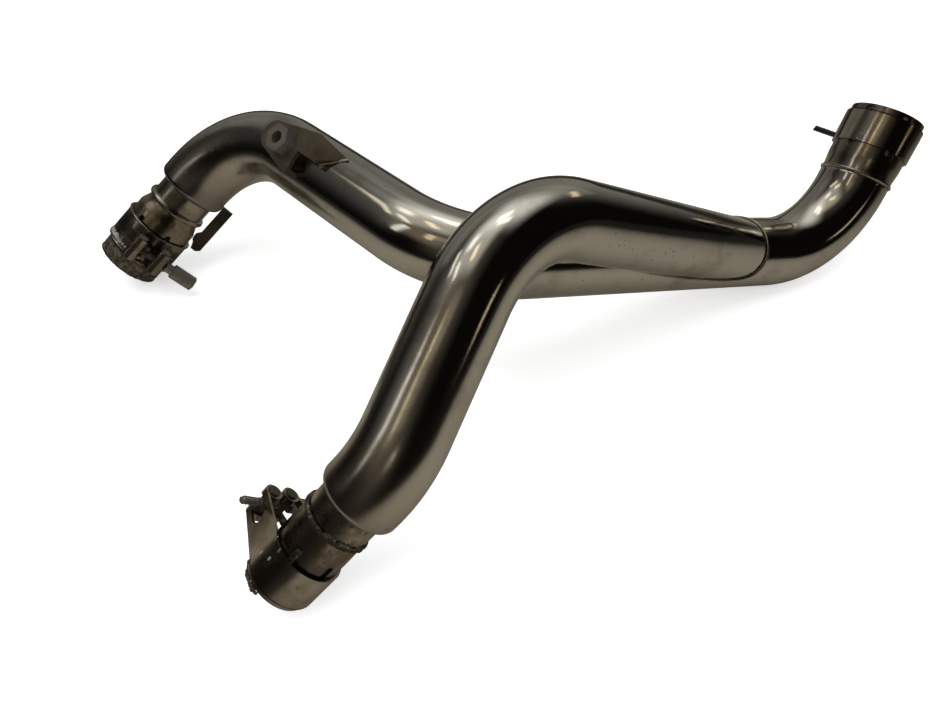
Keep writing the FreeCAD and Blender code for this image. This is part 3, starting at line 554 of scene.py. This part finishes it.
def steel_finish(name, colour, roughness, stained, tints=(), wave=0.35, grain=0.04, spotted=0.7,
                 soot=0.0, rings=(), satin=(), pits=(), metallic=1.0):
    """Bare steel with stains, spots, soot, rings of painted shade under edges and heat tint."""
    made = Finish(name)
    place, colours = made.place, made.colours
    stains = made.grime(26.0, stained, 0.14)
    shade = made.mix(made.times(stains, 0.55), getattr(colours, colour), colours.stain)
    for mouth, start, end, share in tints:
        tint = made.tint(mouth, start, end)
        shade = made.mix(made.times(tint["Mask"], share), shade, tint["Colour"])
    dots = made.times(made.spots(170.0, 0.22), made.ramp(made.noise(place, 14.0), 0.45, 0.62))
    shade = made.mix(made.times(dots, spotted), shade, colours.stain)
    for middle, reach in pits:
        near = made.fade(made.vector("DISTANCE", place, middle), reach * 0.4 * MM, reach * MM)
        holes = made.times(made.spots(330.0, 0.27), near)
        dots = made.math("MAXIMUM", dots, holes)
        shade = made.mix(made.times(holes, 0.85), shade, colours.soot)
    # Darkening towards the soot colour: real soot patches from a noise, and rings of painted shade
    # under edges
    darkening = 0.0
    if soot:
        darkening = made.times(made.grime(75.0, 0.55, 0.1), soot)
    # Painted shade: a dark ring where an edge shades its seat
    for mouth, at, reach, share in rings:
        ring = made.group("soot_ring", place, Origin=mouth[0], Axis=mouth[1], Place=at * MM,
                          Reach=reach * MM, Widest=RING_WIDEST)["Mask"]
        darkening = made.math("MAXIMUM", darkening, made.times(ring, share))
    if soot or rings:
        shade = made.mix(darkening, shade, colours.soot)
    scuff = made.group("scuff", place, Wave=wave, Grain=grain)
    dulled = [(stains, 0.06), (made.minus(scuff["Smear"], 0.5), roughness), (darkening, 0.3),
              (dots, 0.2)]
    dulled += [(made.tint(mouth, start, end)["Mask"], share) for mouth, start, end, share in satin]
    rough = roughness
    for mask, share in dulled:
        rough = made.plus(rough, made.times(mask, share), clamp=True)
    made.set(Base_Color=shade, Roughness=rough, Metallic=metallic)
    made.bump(scuff["Height"], 0.4 * MM)


def fixing_finish(name, dark, pale):
    """Plated steel that has gone dull, with patches of rust."""
    made = Finish(name)
    rust = made.colours.rust
    coarse = made.noise(made.place, 240.0, 7.0, 0.7)
    cover = made.grime(130.0, 0.3, 0.12)
    plate = made.mix(coarse, dark, pale)
    rusty = made.mix(coarse, rust, [channel * 1.9 for channel in rust])
    made.set(Base_Color=made.mix(cover, plate, rusty),
             Roughness=made.ramp(cover, 0.0, 1.0, 0.36, 0.75),
             Metallic=made.ramp(cover, 0.0, 1.0, 0.8, 0.4))
    made.bump(coarse, 0.35 * MM)


def bracket_finish(name):
    """Sheet steel browned by heat, duller and darker in patches."""
    made = Finish(name)
    colours = made.colours
    patch = made.times(made.grime(38.0, 0.5, 0.25), 0.6)
    darkening = made.grime(60.0, 0.45, 0.2)
    shade = made.mix(made.times(darkening, 0.6), made.mix(patch, colours.bracket, BROWN_PATCH),
                     colours.soot)
    made.set(Base_Color=shade, Metallic=0.85, Roughness=made.plus(0.34, made.times(darkening, 0.2)))
    made.bump(made.group("scuff", made.place, Wave=0.25, Grain=0.12)["Height"], 0.3 * MM)


def bead_finish(name):
    """Weld metal: lumpy, with dark scale and a few bright crests."""
    made = Finish(name)
    scale = made.grime(210.0, 0.75, 0.15)
    made.set(Base_Color=made.mix(made.times(scale, 0.85), made.colours.bead, WELD_SCALE),
             Metallic=1.0, Roughness=made.ramp(scale, 0.0, 1.0, 0.28, 0.65))
    made.bump(made.noise(made.place, 500.0, 4.0), 0.5 * MM)


def gasket_finish(name):
    """Burnt gasket mesh, crumbly and sooty."""
    made = Finish(name)
    colours = made.colours
    grit = made.noise(made.place, 420.0, 6.0, 0.7)
    shade = made.mix(made.grime(320.0, 0.5, 0.1), colours.gasket, PALE_ASH)
    made.set(Base_Color=made.mix(made.ramp(grit, 0.35, 0.6), colours.soot, shade),
             Roughness=0.85, Metallic=0.2)
    made.bump(grit, 1.2 * MM)


# Geometry trees


def geometry_group(name, *inputs):
    return node_group("GeometryNodeTree", name, (GEOMETRY, *inputs, ("Material", MATERIAL)),
                      (GEOMETRY,))


def close_tree(tree, given, result, geometry):
    """Ends a geometry tree with smooth faces, realized instances and its material."""
    real = tree.shape("RealizeInstances", tree.shape("SetShadeSmooth", geometry))
    tree.feed(result[0], tree.shape("SetMaterial", real, Material=given["Material"]))


def sweep(tree, curve, segments, width, caps=True):
    """A round section swept along a curve, with its radius at each point."""
    ring = tree.shape("CurvePrimitiveCircle", Resolution=segments, Radius=1.0)
    return tree.shape("CurveToMesh", curve, ring, Scale=width, Fill_Caps=caps)


def seeded_place(tree, given, step):
    """Each point's place, shifted by the seed so that its noise differs."""
    shift = tree.combined(X=tree.times(given["Seed"], step))
    return tree.vector("ADD", tree.shape("InputPosition"), shift)


def make_sweep_tree():
    """A pipe along a curve, as wide as each point's radius."""
    tree, given, result = geometry_group("swept_skin", ("Segments", INT, 96))
    close_tree(tree, given, result, sweep(
        tree, given["Geometry"], given["Segments"], tree.shape("InputRadius"), False))


def make_bead_tree():
    """A weld bead along a curve: ripples at even steps, and lumps from a seeded noise."""
    tree, given, result = geometry_group(
        "weld_bead", ("Ripple Length", FLOAT, 1.6 * MM), ("Ripple Depth", FLOAT, 0.2),
        ("Lumps", FLOAT, 0.3), ("Segments", INT, 12), ("Seed", INT, 3))
    step = tree.math("DIVIDE", given["Ripple Length"], 6.0)
    dense = tree.shape("ResampleCurve", given["Geometry"], Length=step, mode="LENGTH")
    length = tree.add("GeometryNodeSplineParameter").outputs["Length"]
    phase = tree.math("DIVIDE", length, given["Ripple Length"])
    ripple = tree.math("ABSOLUTE", tree.math("SINE", tree.times(phase, pi)))
    share = tree.minus(1.0, tree.times(ripple, given["Ripple Depth"]))
    lump = tree.minus(tree.noise(seeded_place(tree, given, 7.3), 260.0, 2.0, 0.5), 0.5)
    share = tree.plus(share, tree.times(lump, given["Lumps"]))
    width = tree.times(tree.shape("InputRadius"), share)
    close_tree(tree, given, result, sweep(tree, dense, given["Segments"], width))


def make_crumbs_tree():
    """Crumbs strewn along a curve, with uneven sizes and rough faces from a seeded noise."""
    tree, given, result = geometry_group(
        "crumbs", ("Count", INT, 24), ("Size", FLOAT, 1.6 * MM), ("Stray", FLOAT, 2.5 * MM),
        ("Seed", INT, 3))
    line = tree.shape("ResampleCurve", given["Geometry"], Count=given["Count"], mode="COUNT")
    place = seeded_place(tree, given, 1.7)
    way = tree.noise(place, 700.0, 1.0, 0.5, "Color")
    away = tree.scaled(tree.vector("SUBTRACT", way, (0.5, 0.5, 0.5)), given["Stray"])
    size = tree.ramp(tree.noise(place, 700.0, 1.0, 0.5), 0.35, 0.65, 0.5, 1.1)
    crumb = tree.shape("MeshIcoSphere", Radius=given["Size"], Subdivisions=4)
    spread = tree.shape("InstanceOnPoints", tree.shape("SetPosition", line, Offset=away),
                        Instance=crumb, Scale=size)
    push = tree.times(tree.minus(tree.noise(place, 600.0, 3.0, 0.5), 0.6), given["Size"])
    close_tree(tree, given, result, tree.shape(
        "SetPosition", tree.shape("RealizeInstances", spread),
        Offset=tree.scaled(tree.shape("InputNormal"), push)))


def make_thread_tree():
    """A threaded rod along local Z: a core and a ridge that winds round it."""
    tree, given, result = geometry_group(
        "threaded_rod", ("Radius", FLOAT, 2.5 * MM), ("Pitch", FLOAT, 0.8 * MM),
        ("Length", FLOAT, 40.0 * MM))
    length, pitch = given["Length"], given["Pitch"]
    core = tree.minus(given["Radius"], tree.times(pitch, 0.6))
    rod = tree.shape("MeshCylinder", Vertices=24, Radius=core, Depth=length)
    lift = tree.combined(Z=tree.times(length, 0.5))
    ridge = tree.times(pitch, 0.55)
    middle = tree.minus(given["Radius"], ridge)
    spiral = tree.shape("CurveSpiral", Resolution=20, Start_Radius=middle, End_Radius=middle,
                        Height=length, Rotations=tree.math("DIVIDE", length, pitch))
    joined = tree.add("GeometryNodeJoinGeometry", tree.shape("Transform", rod, Translation=lift))
    tree.feed(joined.inputs[0], sweep(tree, spiral, 4, ridge))
    close_tree(tree, given, result, joined.outputs[0])


def make_smoothing_tree():
    """Joins a CAD mesh's loose triangles and shades it smooth up to a sharp angle."""
    tree, given, result = node_group(
        "GeometryNodeTree", "smooth_turnings", (GEOMETRY, ("Sharp Angle", FLOAT, 0.6)), (GEOMETRY,))
    merged = tree.shape("MergeByDistance", given["Geometry"], Distance=0.002 * MM)
    crease = tree.math("LESS_THAN", tree.shape("InputMeshEdgeAngle"), given["Sharp Angle"])
    tree.feed(result[0], tree.shape("SetShadeSmooth", tree.shape("SetShadeSmooth", merged),
                                    Shade_Smooth=crease, domain="EDGE"))


# Shapes


def frame_at(mouth, degrees=0.0):
    """Local Z runs from the mouth into the pipe. Local X is turned by the angle from the top."""
    middle, axis = mouth
    top = (Vector((0, 0, 1)) - axis * axis.z).normalized()
    side = Matrix.Rotation(radians(degrees), 3, axis) @ top
    turn = Matrix((side, axis.cross(side), axis)).transposed()
    return Matrix.Translation(middle) @ turn.to_4x4()


def full_turn(count):
    return [2 * pi * i / count for i in range(count)]


def arc_points(mouth, radius, along, turns=full_turn(96)):
    """Points round the pipe's axis at the angles from the top, for sizes in mm."""
    place = frame_at(mouth)
    return [place @ millimetres(radius * cos(turn), radius * sin(turn), along)
            for turn in turns]


def bend_route(corners, skip_start, skip_end, step):
    """Points along straight runs joined by tangent arcs."""
    here = corners[0] + (corners[1] - corners[0]).normalized() * skip_start
    last = corners[-1] + (corners[-2] - corners[-1]).normalized() * skip_end
    points = [here]

    def straight_to(end):
        start = points[-1].copy()
        count = max(1, round((end - start).length / step))
        points.extend(start.lerp(end, i / count) for i in range(1, count + 1))

    for before, corner, after in zip(corners, corners[1:], corners[2:]):
        way_in = (corner - before).normalized()
        way_out = (after - corner).normalized()
        turn = way_in.angle(way_out)
        entry = corner - way_in * BEND_RADIUS * tan(turn / 2)
        straight_to(entry)
        centre = corner + (way_out - way_in).normalized() * (BEND_RADIUS / cos(turn / 2))
        out = (entry - centre).normalized()
        count = max(4, round(BEND_RADIUS * turn / step))
        for i in range(1, count + 1):
            angle = turn * i / count
            points.append(centre + (out * cos(angle) + way_in * sin(angle)) * BEND_RADIUS)
    straight_to(last)
    return points


def add_object(name, data):
    made = bpy.data.objects.new(name, data)
    bpy.context.scene.collection.objects.link(made)
    return made


def mesh_object(name, vertices, faces):
    data = bpy.data.meshes.new(name)
    data.from_pydata([tuple(spot) for spot in vertices], [], faces)
    data.update()
    return add_object(name, data)


def balls_object(name, subdivisions, radius, places=(Matrix(),)):
    work = bmesh.new()
    for place in places:
        bmesh.ops.create_icosphere(work, subdivisions=subdivisions, radius=radius, matrix=place)
    data = bpy.data.meshes.new(name)
    work.to_mesh(data)
    work.free()
    return add_object(name, data)


def merge(mesh, distance):
    work = bmesh.new()
    work.from_mesh(mesh)
    bmesh.ops.remove_doubles(work, verts=work.verts, dist=distance)
    bmesh.ops.recalc_face_normals(work, faces=work.faces)
    work.to_mesh(mesh)
    work.free()


def lathed_object(name, rings, material):
    """A closed mesh through rings of points, the last ring joined to the first."""
    count = len(rings[0])
    faces = []
    for row in range(len(rings)):
        here, after = row * count, (row + 1) % len(rings) * count
        for i in range(count):
            j = (i + 1) % count
            faces.append((here + i, here + j, after + j, after + i))
    made = mesh_object(name, [spot for ring in rings for spot in ring], faces)
    merge(made.data, 0.001 * MM)
    made.data.materials.append(bpy.data.materials[material])
    return made


def grown_object(name, tree_name, material, points, radii, cyclic=False, **inputs):
    """Runs a geometry tree on a curve through the points and keeps its mesh as an object."""
    curve = bpy.data.curves.new(name, "CURVE")
    curve.dimensions = "3D"
    spline = curve.splines.new("POLY")
    spline.points.add(len(points) - 1)
    for item, spot, radius in zip(spline.points, points, radii):
        item.co = (*spot, 1.0)
        item.radius = radius
    spline.use_cyclic_u = cyclic
    made = add_object(name, curve)
    modifier = made.modifiers.new(tree_name, "NODES")
    modifier.node_group = bpy.data.node_groups[tree_name]
    inputs["Material"] = bpy.data.materials[material]
    for socket in modifier.node_group.interface.items_tree:
        label = socket.name.replace(" ", "_")
        if socket.in_out == "INPUT" and label in inputs:
            modifier[socket.identifier] = inputs[label]
    evaluated = made.evaluated_get(bpy.context.evaluated_depsgraph_get())
    mesh = bpy.data.meshes.new_from_object(evaluated)
    bpy.data.objects.remove(made)
    bpy.data.curves.remove(curve)
    mesh.name = name
    return add_object(name, mesh)


def keep(piece, slot, *nodes):
    """The piece rides on the body and stands for the CAD nodes. The slot is not used."""
    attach(piece, BODY)
    if nodes:
        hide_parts(*nodes)


def closed_bead(name, points, radius, metal, slot, *nodes, **inputs):
    """A bead along a closed line, with its radius in metres."""
    keep(grown_object(name, "weld_bead", metal, points, [radius] * len(points), cyclic=True,
                      **inputs), slot, *nodes)


def skin(name, corners, shoulder, skip_end, radius, neck):
    """A skin whose inlet end is rolled in to the neck."""
    sizes = bpy.context.scene.header_sizes
    lip = neck + sizes.seat_gap
    roll = radius - lip
    way = (corners[1] - corners[0]).normalized()
    points = bend_route(corners, shoulder + roll, skip_end, sizes.row_length)
    radii = [radius] * len(points)
    for i in range(LIP_ROWS):
        angle = pi / 2 * (1 - (i + 1) / LIP_ROWS)
        place = shoulder + roll * (1 - cos(angle))
        points.insert(0, points[0] - way * ((points[0] - corners[0]).length - place))
        radii.insert(0, lip + roll * sin(angle))
    return grown_object(name, "swept_skin", "polished_steel", points, radii,
                        Segments=sizes.segments)


def seat_on_run(mesh, radius):
    """Draws the front skin's end back along the pipe until it lies on the rear skin."""
    across_push = FRONT_WAY - RUN_WAY * FRONT_WAY.dot(RUN_WAY)
    square = across_push.length_squared
    for vertex in mesh.vertices:
        offset = vertex.co - JUNCTION
        across = offset - RUN_WAY * offset.dot(RUN_WAY)
        inside = radius ** 2 - across.length_squared
        if inside <= 0 or offset.dot(FRONT_WAY) < -JUNCTION_REACH:
            continue
        lead = across.dot(across_push)
        vertex.co -= FRONT_WAY * ((lead + sqrt(lead ** 2 + square * inside)) / square)


def seam_points(front_radius, rear_radius):
    """The closed line where the two skins meet, lifted off them."""
    side = FRONT_WAY.cross(RUN_WAY).normalized()
    lean = side.cross(FRONT_WAY)
    points = []
    for turn in full_turn(SEAM_POINTS):
        aside = front_radius * sin(turn)
        up = front_radius * cos(turn)
        reach = sqrt(rear_radius ** 2 - aside ** 2)
        depth = (up * FRONT_WAY.dot(RUN_WAY) - reach) / lean.dot(RUN_WAY)
        spot = JUNCTION + side * aside + lean * up + FRONT_WAY * depth
        front_normal = (side * aside + lean * up).normalized()
        rear_normal = spot - JUNCTION
        rear_normal = (rear_normal - RUN_WAY * rear_normal.dot(RUN_WAY)).normalized()
        points.append(spot + (front_normal + rear_normal).normalized() * SEAM_LIFT)
    return points


def crumbled(radius, along, rough, turn, inner):
    """A point of a sleeve's surface, sunk into its wall by a fixed noise. Sizes in mm."""
    spot = Vector((radius * cos(turn), radius * sin(turn), along))
    wear = noise.fractal(spot * WEAR_SCALE, 1.0, 2.0, 4) * 0.5 + 0.5
    wear = max(0.0, min(1.0, wear)) * WEAR_DEPTH * rough
    sunk = radius - wear if radius > inner + 0.1 else radius + wear
    lip = wear if along == 0.0 else 0.0
    return millimetres(sunk * cos(turn), sunk * sin(turn), along + lip)


def sleeve_section(outer, inner, collar, collar_end):
    """A sleeve's outline (mm): radius, distance from the mouth and share of the wear."""
    rows = [SLEEVE_LENGTH * i / OUTSIDE_ROWS for i in range(OUTSIDE_ROWS, 0, -1)]
    section = [(outer, along, 1.0) for along in rows if along > collar_end + 0.5]
    if collar_end:
        section += [(outer, collar_end + 0.3, 0.0), (collar, collar_end, 0.5)]
        section += [(collar, collar_end * i / COLLAR_ROWS, 1.0)
                    for i in range(COLLAR_ROWS - 1, 0, -1)]
    section += [(collar, 0.0, 0.6), ((outer + inner) / 2, 0.0, 1.0), (inner, 0.0, 0.6)]
    return section + [(inner, SLEEVE_LENGTH * i / BORE_ROWS, 0.4)
                      for i in range(1, BORE_ROWS + 1)]


class HEADER_OT_finishes(bpy.types.Operator):
    """Make the materials and give the CAD pieces theirs"""
    bl_idname = "header.finishes"
    bl_label = "Finishes"

    def execute(self, context):
        for build in (make_grime_group, make_spots_group, make_temper_group, make_painted_shade_ring_group,
                      make_scuff_group, make_sweep_tree, make_bead_tree, make_crumbs_tree,
                      make_thread_tree, make_smoothing_tree):
            build()
        for name, look in STEELS.items():
            steel_finish(name, **look)
        fixing_finish("grey_fixing", (0.13, 0.12, 0.10), (0.34, 0.31, 0.27))
        fixing_finish("black_fixing", (0.04, 0.036, 0.032), (0.13, 0.115, 0.10))
        bracket_finish("browned_sheet")
        bead_finish("weld_metal")
        gasket_finish("burnt_gasket")
        for material, nodes in NODE_FINISHES.items():
            for name in nodes:
                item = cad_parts[name]
                item.data.materials.clear()
                item.data.materials.append(bpy.data.materials[material])
                if name in CHAMFERS:
                    modifier = item.modifiers.new("chamfer", "BEVEL")
                    modifier.width = CHAMFERS[name] * MM
                    modifier.limit_method = "ANGLE"
                    modifier.angle_limit = CHAMFER_ANGLE
                modifier = item.modifiers.new("smooth", "NODES")
                modifier.node_group = bpy.data.node_groups["smooth_turnings"]
        return {"FINISHED"}


class HEADER_OT_skins(bpy.types.Operator):
    """Make the polished skins of both pipes"""
    bl_idname = "header.skins"
    bl_label = "Skins"

    def execute(self, context):
        sizes = context.scene.header_sizes
        rear = skin("rear_skin", REAR_CORNERS, REAR_SKIN_START * MM, OUTLET_SKIN_END * MM,
                    sizes.rear_skin_radius, sizes.rear_neck_radius)
        front = skin("front_skin", FRONT_CORNERS, FRONT_SKIN_START * MM, 0.0,
                     sizes.front_skin_radius, sizes.front_neck_radius)
        seat_on_run(front.data, sizes.rear_skin_radius + sizes.seat_gap)
        for piece, node in ((rear, "rear_outer_pipe"), (front, "front_outer_pipe")):
            merge(piece.data, 0.01 * MM)
            wall = piece.modifiers.new("wall", "SOLIDIFY")
            wall.thickness = sizes.skin_wall
            wall.offset = -1.0
            keep(piece, "skin_steel", node)
        return {"FINISHED"}


class HEADER_OT_beads(bpy.types.Operator):
    """Make the ring welds and the seam between the pipes"""
    bl_idname = "header.beads"
    bl_label = "Weld beads"

    def execute(self, context):
        sizes = context.scene.header_sizes
        for seed, (name, node, mouth, along, seat, radius, lumps, ripples,
                   metal) in enumerate(RING_BEADS):
            points = arc_points(mouth, getattr(sizes, seat) / MM, along,
                                full_turn(RING_BEAD_POINTS))
            closed_bead(name, points, radius * MM, metal, "weld_steel", node, Seed=seed,
                        Lumps=lumps, Ripple_Depth=ripples)
        points = seam_points(sizes.front_skin_radius + sizes.seat_gap,
                             sizes.rear_skin_radius + sizes.seat_gap)
        closed_bead("seam_bead", points, sizes.seam_radius, "ground_bead", "weld_steel",
                    "junction_weld", Seed=9, Lumps=0.25, Ripple_Depth=0.08)
        return {"FINISHED"}


class HEADER_OT_studs(bpy.types.Operator):
    """Make the threaded clamp studs"""
    bl_idname = "header.studs"
    bl_label = "Clamp studs"

    def execute(self, context):
        sizes = context.scene.header_sizes
        for name, metal, mouth, angle, rise, middle, reach, nut_at, nut_length, side in STUDS:
            length = (reach + nut_at + nut_length) * MM - sizes.stud_radius
            rod = grown_object(name + "_stud", "threaded_rod", metal,
                               [Vector(), Vector((0, 0, MM))], [1.0, 1.0],
                               Radius=sizes.stud_radius, Pitch=sizes.thread_pitch, Length=length)
            turn = Matrix.Rotation(radians(-90 * side), 4, "X")
            place = Matrix.Translation(millimetres(rise, -side * reach, middle))
            rod.data.transform(frame_at(mouth, angle) @ place @ turn)
            keep(rod, "fixing_steel", name + "_clamp_stud")
        return {"FINISHED"}


class HEADER_OT_sleeves(bpy.types.Operator):
    """Make the crumbly gasket sleeves in the inlet sockets"""
    bl_idname = "header.sleeves"
    bl_label = "Gasket sleeves"

    def execute(self, context):
        for name, mouth, outer, collar, collar_end in SLEEVES:
            inner = outer - SLEEVE_WALL
            place = frame_at(mouth)
            rings = [[place @ crumbled(radius, along, rough, turn, inner)
                      for turn in full_turn(SLEEVE_POINTS)]
                     for radius, along, rough in sleeve_section(outer, inner, collar, collar_end)]
            piece = lathed_object(name + "_sleeve", rings, "burnt_gasket")
            piece.data.shade_smooth()
            keep(piece, "gasket_graphite", name + "_gasket_sleeve")
        return {"FINISHED"}


class HEADER_OT_small_parts(bpy.types.Operator):
    """Make the clinch marks, the spot weld, the crumbs, the tabs, the rims and the dark lining of
    soot and painted shade in the outlet
    """
    bl_idname = "header.small_parts"
    bl_label = "Small parts and soot"

    def execute(self, context):
        for name, metal, *spots in CLINCHES:
            places = [frame_at(FRONT_MOUTH, angle)
                      @ Matrix.Translation(millimetres(CLINCH_SEAT, 0.0, along))
                      @ Matrix.Diagonal(CLINCH_SIZE) for angle, along in spots]
            marks = balls_object(name, 3, 1.0, places)
            marks.data.materials.append(bpy.data.materials[metal])
            marks.data.shade_smooth()
            keep(marks, "clamp_steel")

        place = frame_at(OUTLET_MOUTH, SPOT_TURN)
        points = []
        for turn in full_turn(24):
            across, along = SPOT_RADIUS * cos(turn), SPOT_RADIUS * sin(turn)
            points.append(place @ millimetres(
                sqrt(SPOT_SEAT ** 2 - across ** 2), across, SPOT_PLACE + along))
        closed_bead("spot_weld", points, SPOT_BEAD * MM, "ground_bead", "weld_steel", Seed=12,
                    Lumps=0.1, Ripple_Depth=0.0)

        for name, slot, metal, mouth, radius, along, first, last, count, size in STRAY_BITS:
            turns = [radians(first + (last - first) * i / (ARC_POINTS - 1))
                     for i in range(ARC_POINTS)]
            points = arc_points(mouth, radius, along, turns)
            keep(grown_object(name, "crumbs", metal, points, [1.0] * ARC_POINTS, Seed=4,
                              Count=count, Size=size * MM), slot)

        for name, along in BAND_RIMS:
            closed_bead(name, arc_points(REAR_MOUTH, RIM_SEAT, along), RIM_BEAD * MM,
                        "ground_bead", "clamp_steel", Seed=21, Lumps=0.4, Ripple_Depth=0.0)

        # A dark lining inside the outlet: soot, and painted shade of the pipe's inside seen through
        # its slots
        rings = [arc_points(OUTLET_MOUTH, radius, along) for radius, along in SOOT_AND_SHADE_SECTION]
        keep(lathed_object("outlet_soot", rings, "burnt_gasket"), "gasket_graphite")
        return {"FINISHED"}


def square_card(name, half, height, material):
    corners = [Vector((x * half, y * half, height))
               for x, y in ((-1, -1), (1, -1), (1, 1), (-1, 1))]
    made = mesh_object(name, corners, [(0, 1, 2, 3)])
    made.data.materials.append(material)
    return made


def show_in_gloss_only(item):
    """A studio card: mirrored in the metal, not seen by the camera, and without a shadow."""
    for rays in ("camera", "diffuse", "transmission", "shadow", "volume_scatter"):
        setattr(item, "visible_" + rays, False)


class HEADER_OT_stage(bpy.types.Operator):
    """Make the floor, the table, the studio dome, the lamps and the camera"""
    bl_idname = "header.stage"
    bl_label = "Stage"

    def execute(self, context):
        scene = context.scene
        low = CAD_BOX[0][2]

        made = Finish("pale_floor")
        made.set(Base_Color=made.colours.floor, Roughness=1.0, Specular_IOR_Level=0.0,
                 Emission_Color=(1.0, 1.0, 1.0),
                 Emission_Strength=made.times(made.seen_rays(), FLOOR_GLOW))
        square_card("floor", FLOOR_HALF, low, made.material)

        made = Finish("table_card")
        away = made.vector("DISTANCE", made.place, TABLE_MIDDLE)
        made.set(Roughness=0.9, Base_Color=made.mix(
            made.ramp(away, *TABLE_FADE), TABLE_COLOUR, TABLE_FAR))
        show_in_gloss_only(square_card("table_card", TABLE_HALF, low + TABLE_LIFT, made.material))

        make_patch_group()
        material = bpy.data.materials.new("studio_dome")
        tree = Tree(emptied_tree(material))
        way = tree.vector("NORMALIZE", tree.add("ShaderNodeTexCoord").outputs["Object"])
        glow = DOME_DARK
        for azimuth, elevation, width, height, soft, strength, colour in DOME_PATCHES.values():
            turn, rise = radians(azimuth), radians(elevation)
            forward = Vector((sin(turn) * cos(rise), cos(turn) * cos(rise),
                              sin(rise)))
            side = Vector((cos(turn), -sin(turn), 0.0))
            mask = tree.group("light_patch", way, Forward=forward, Side=side,
                              Up=side.cross(forward), Half_Width=radians(width),
                              Half_Height=radians(height), Softness=radians(soft))["Mask"]
            glow = tree.mix(tree.times(mask, strength), glow, colour, "ADD")
        light = tree.add("ShaderNodeEmission", glow, 1.0)
        tree.add("ShaderNodeOutputMaterial", light.outputs[0])
        dome = balls_object("studio_dome", 4, DOME_RADIUS)
        dome.data.materials.append(material)
        show_in_gloss_only(dome)

        world = bpy.data.worlds.new("studio")
        scene.world = world
        tree = Tree(emptied_tree(world))
        sky = tree.add("ShaderNodeBackground", (1.0, 1.0, 1.0),
                       tree.ramp(tree.seen_rays(), 0.0, 1.0, SKY_GLOW))
        tree.add("ShaderNodeOutputWorld", sky.outputs[0])

        for name, place, size, power in LAMPS:
            lamp = bpy.data.lights.new(name, "AREA")
            lamp.shape = "SQUARE"
            lamp.size = size
            lamp.energy = power
            item = add_object(name, lamp)
            item.location = place
            item.rotation_euler = (LAMP_AIM - place).to_track_quat("-Z", "Y").to_euler()
            item.visible_glossy = False

        camera = bpy.data.cameras.new("camera")
        camera.sensor_fit = "HORIZONTAL"
        camera.sensor_width = SENSOR_WIDTH
        camera.lens = SENSOR_WIDTH * PIXEL_FOCAL / IMAGE_WIDTH
        camera.clip_start = 0.01
        item = add_object("camera", camera)
        turn = Matrix((CAMERA_RIGHT, CAMERA_UP, CAMERA_BACK)).transposed()
        item.matrix_world = Matrix.Translation(CAMERA_PLACE) @ turn.to_4x4()
        scene.camera = item
        scene.view_settings.view_transform = "Standard"
        return {"FINISHED"}


class HEADER_PT_panel(bpy.types.Panel):
    """Lists the header's steps in the sidebar"""
    bl_idname = "HEADER_PT_panel"
    bl_label = "Exhaust header"
    bl_space_type = "VIEW_3D"
    bl_region_type = "UI"
    bl_category = "Header"

    def draw(self, context):
        for group in (context.scene.header_sizes, context.scene.header_finish):
            for name in group.bl_rna.properties.keys():
                if name not in ("rna_type", "name"):
                    self.layout.prop(group, name)
        for operator in OPERATORS:
            self.layout.operator(operator.bl_idname)


OPERATORS = (HEADER_OT_finishes, HEADER_OT_skins, HEADER_OT_beads, HEADER_OT_studs,
             HEADER_OT_sleeves, HEADER_OT_small_parts, HEADER_OT_stage)
CLASSES = (HeaderSizes, HeaderFinish) + OPERATORS + (HEADER_PT_panel,)


def register():
    for item in CLASSES:
        bpy.utils.register_class(item)
    bpy.types.Scene.header_sizes = bpy.props.PointerProperty(type=HeaderSizes)
    bpy.types.Scene.header_finish = bpy.props.PointerProperty(type=HeaderFinish)


def unregister():
    del bpy.types.Scene.header_finish
    del bpy.types.Scene.header_sizes
    for item in reversed(CLASSES):
        bpy.utils.unregister_class(item)


def main():
    register()
    bpy.ops.header.finishes()
    bpy.ops.header.skins()
    bpy.ops.header.beads()
    bpy.ops.header.studs()
    bpy.ops.header.sleeves()
    bpy.ops.header.small_parts()
    bpy.ops.header.stage()
    bpy.context.view_layer.update()


if __name__ == "__main__":
    main()
